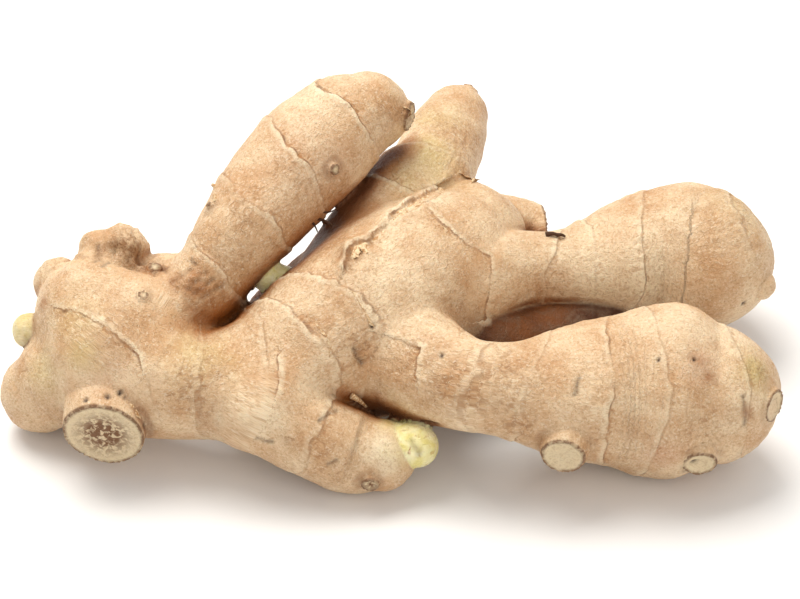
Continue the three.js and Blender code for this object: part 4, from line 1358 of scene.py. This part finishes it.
# Each strip: its row of places, its height in mm and its lean.
STRIPS = {
    "ledge_strip": ({"back_finger": [(28.6, -54)], "trunk": [(66.5, 12), (61, 10), (56.9, 3)]}, 1.9, -1.3),
    "ledge_flap": ({"trunk": [(56.9, 3), (54.9, 0), (51.5, 1), (48.6, 4), (45.7, -2)]}, 2.4, -1.2),
    "inner_strip": ({"trunk": [(75.3, 9), (66.6, 1), (60.9, 3), (57.5, 2)]}, 0.9, 0.9),
    "collar_strip": ({"back_finger": [(34.1, -55), (34.6, -69), (37.4, -88)]}, 2.0, 0.5),
    "collar_edge": ({"back_finger": [(37.4, -88)], "trunk": [(84.1, 12)]}, 1.6, -0.6),
    "arm_strip": ({"trunk": [(67.3, -1), (68.3, -23), (70.5, -41)]}, 0.7, 0.9),
    "ring_strip_left": ({"trunk": [(33.3, -26), (34.4, -45), (33.2, -62)]}, 0.7, 0.9),
    "ring_strip_right": ({"trunk": [(42.9, -21), (43.2, -39), (43.7, -55)]}, 0.7, 0.9),
    "sprout_collar": ({"sprouting_finger": [(29.5, -16), (30.4, -47)], "sprout": [(4.3, -60)]}, 1.2, 0.7),
    "stub_fold": ({"front_stub": [(9.1, 33), (9.1, 45), (10.5, 61), (11.6, 81)]}, 1.1, 0.9),
    "finger_tip_strip": ({"raised_finger": [(65.2, -53), (65.8, -70), (65.8, -93)]}, 1.3, 0.5),
    "thick_tip_strip": ({"thick_finger": [(83.6, -10), (84.2, -25), (84.0, -45)]}, 0.9, 0.6),
    "bud_scale": ({"yellow_bud": [(2.0, -60), (2.4, -110), (2.2, -150)]}, 1.6, 0.7),
}
for number, (name, (by_limb, tall, lean)) in enumerate(STRIPS.items()):
    torn_strip(name, marks(by_limb), tall, lean, 50 + 3 * number)
print(len(STRIPS), "torn strips")

# %% [markdown]
# A rootlet is a thin bent rod that tapers to its end. The longest is a pale splinter, broken off, that
# lies in the hollow beside the sprouting finger. A withered scrap of root lies on the long finger in two
# pieces, three dark hairs stand in the gap under the raised finger, and two pale nubs are all that is left
# of its own roots.

# %% Rootlets and splinters
ROD_SIDES = 8
ROD_SPANS = 10
ROD_TAPER, ROD_UNEVEN, ROD_UNEVEN_MM = 0.5, 0.18, 0.8
OFF_AXIS = [0.3, 0.2, 0.93]


def root_rod(name, start, end, radius, bow, material):
    """A closed tapering rod between two points in mm, bowed by a vector in its middle."""
    t = np.linspace(0, 1, ROD_SPANS + 1)[:, None]
    middle = start + t * (end - start) + 4 * t * (1 - t) * bow
    ahead = np.gradient(middle, axis=0)
    ahead /= np.linalg.norm(ahead, axis=1)[:, None]
    first = np.cross(ahead, OFF_AXIS)
    first /= np.linalg.norm(first, axis=1)[:, None]
    second = np.cross(ahead, first)
    thick = radius * (1 - ROD_TAPER * t) * (1 + ROD_UNEVEN * lumps(middle, ROD_UNEVEN_MM, 60))[:, None]
    angles = np.arange(ROD_SIDES) * 2 * math.pi / ROD_SIDES
    edges = [middle + thick * (math.cos(a) * first + math.sin(a) * second) for a in angles]
    points = np.concatenate(edges)
    count = ROD_SPANS + 1
    faces = []
    for side in range(ROD_SIDES):
        this, following = side * count, (side + 1) % ROD_SIDES * count
        faces += [(this + i, this + i + 1, following + i + 1, following + i) for i in range(ROD_SPANS)]
    faces.append(tuple(side * count for side in range(ROD_SIDES)))
    faces.append(tuple(side * count + ROD_SPANS for side in range(ROD_SIDES))[::-1])
    add_piece(name, points, faces, material)


def on_skin(name, along, turn, lift):
    """A point held off the skin at a place on a limb."""
    hit = nearest_vertex(on_limb(name, along, turn))
    return place[hit] + lift * normal[hit]


withered, tree, output = new_material("withered_root")
bark = add(tree, "ShaderNodeBsdfPrincipled", {
    "Base Color": from_hex("#4A2E1A"),
    "Roughness": 0.8,
    "IOR": CORK_IOR,
})
tree.links.new(bark.outputs["BSDF"], output.inputs["Surface"])

# Each rod: its two ends as (limb, distance along it, turn, lift off the skin), its radius in mm, how far it
# bows up in mm, and its material.
RODS = {
    "broken_splinter": (("trunk", 35.6, -96, 0.9), ("sprouting_finger", 18.2, 42, 0.9), 0.6, 0.2, dry),
    "dark_scrap": (("long_finger", 27.9, 10, 0.2), ("long_finger", 30.2, 3, 0.5), 0.6, 0.4, withered),
    "dark_scrap_end": (("long_finger", 29.6, 6, 0.3), ("long_finger", 31.8, 4, 0.3), 0.45, 0.3, withered),
    "gap_hair": (("raised_finger", 34, -112, -0.3), ("raised_finger", 35.5, -112, 3.0), 0.3, 0.5, withered),
    "gap_hair_short": (
        ("raised_finger", 33, -108, -0.3), ("raised_finger", 31.6, -108, 2.2), 0.25, 0.3, withered,
    ),
    "gap_hair_bent": (
        ("raised_finger", 36, -106, -0.3), ("raised_finger", 38.4, -108, 1.8), 0.25, -0.4, withered,
    ),
    "finger_nub": (("raised_finger", 21.1, 21, -0.3), ("raised_finger", 21.8, 24, 0.7), 0.6, 0, dry),
    "finger_nub_low": (("raised_finger", 24, 44, -0.3), ("raised_finger", 24.6, 46, 0.7), 0.6, 0, dry),
}
up = np.array([0.0, 0.0, 1.0])
for name, (start, end, radius, bow, surface) in RODS.items():
    root_rod(name, on_skin(*start), on_skin(*end), radius, bow * up, surface)
print(len(RODS), "rootlets and scraps")

# %% [markdown]
# The box of the fixed frame and the box of the finished model are written down, so that they can be
# compared.

# %% Finish
dressed_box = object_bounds()
grown = [round(MM_PER_M * (b - a), 2) for pair in zip(cad_box, dressed_box) for a, b in zip(*pair)]
print("box moved by, in mm", grown)
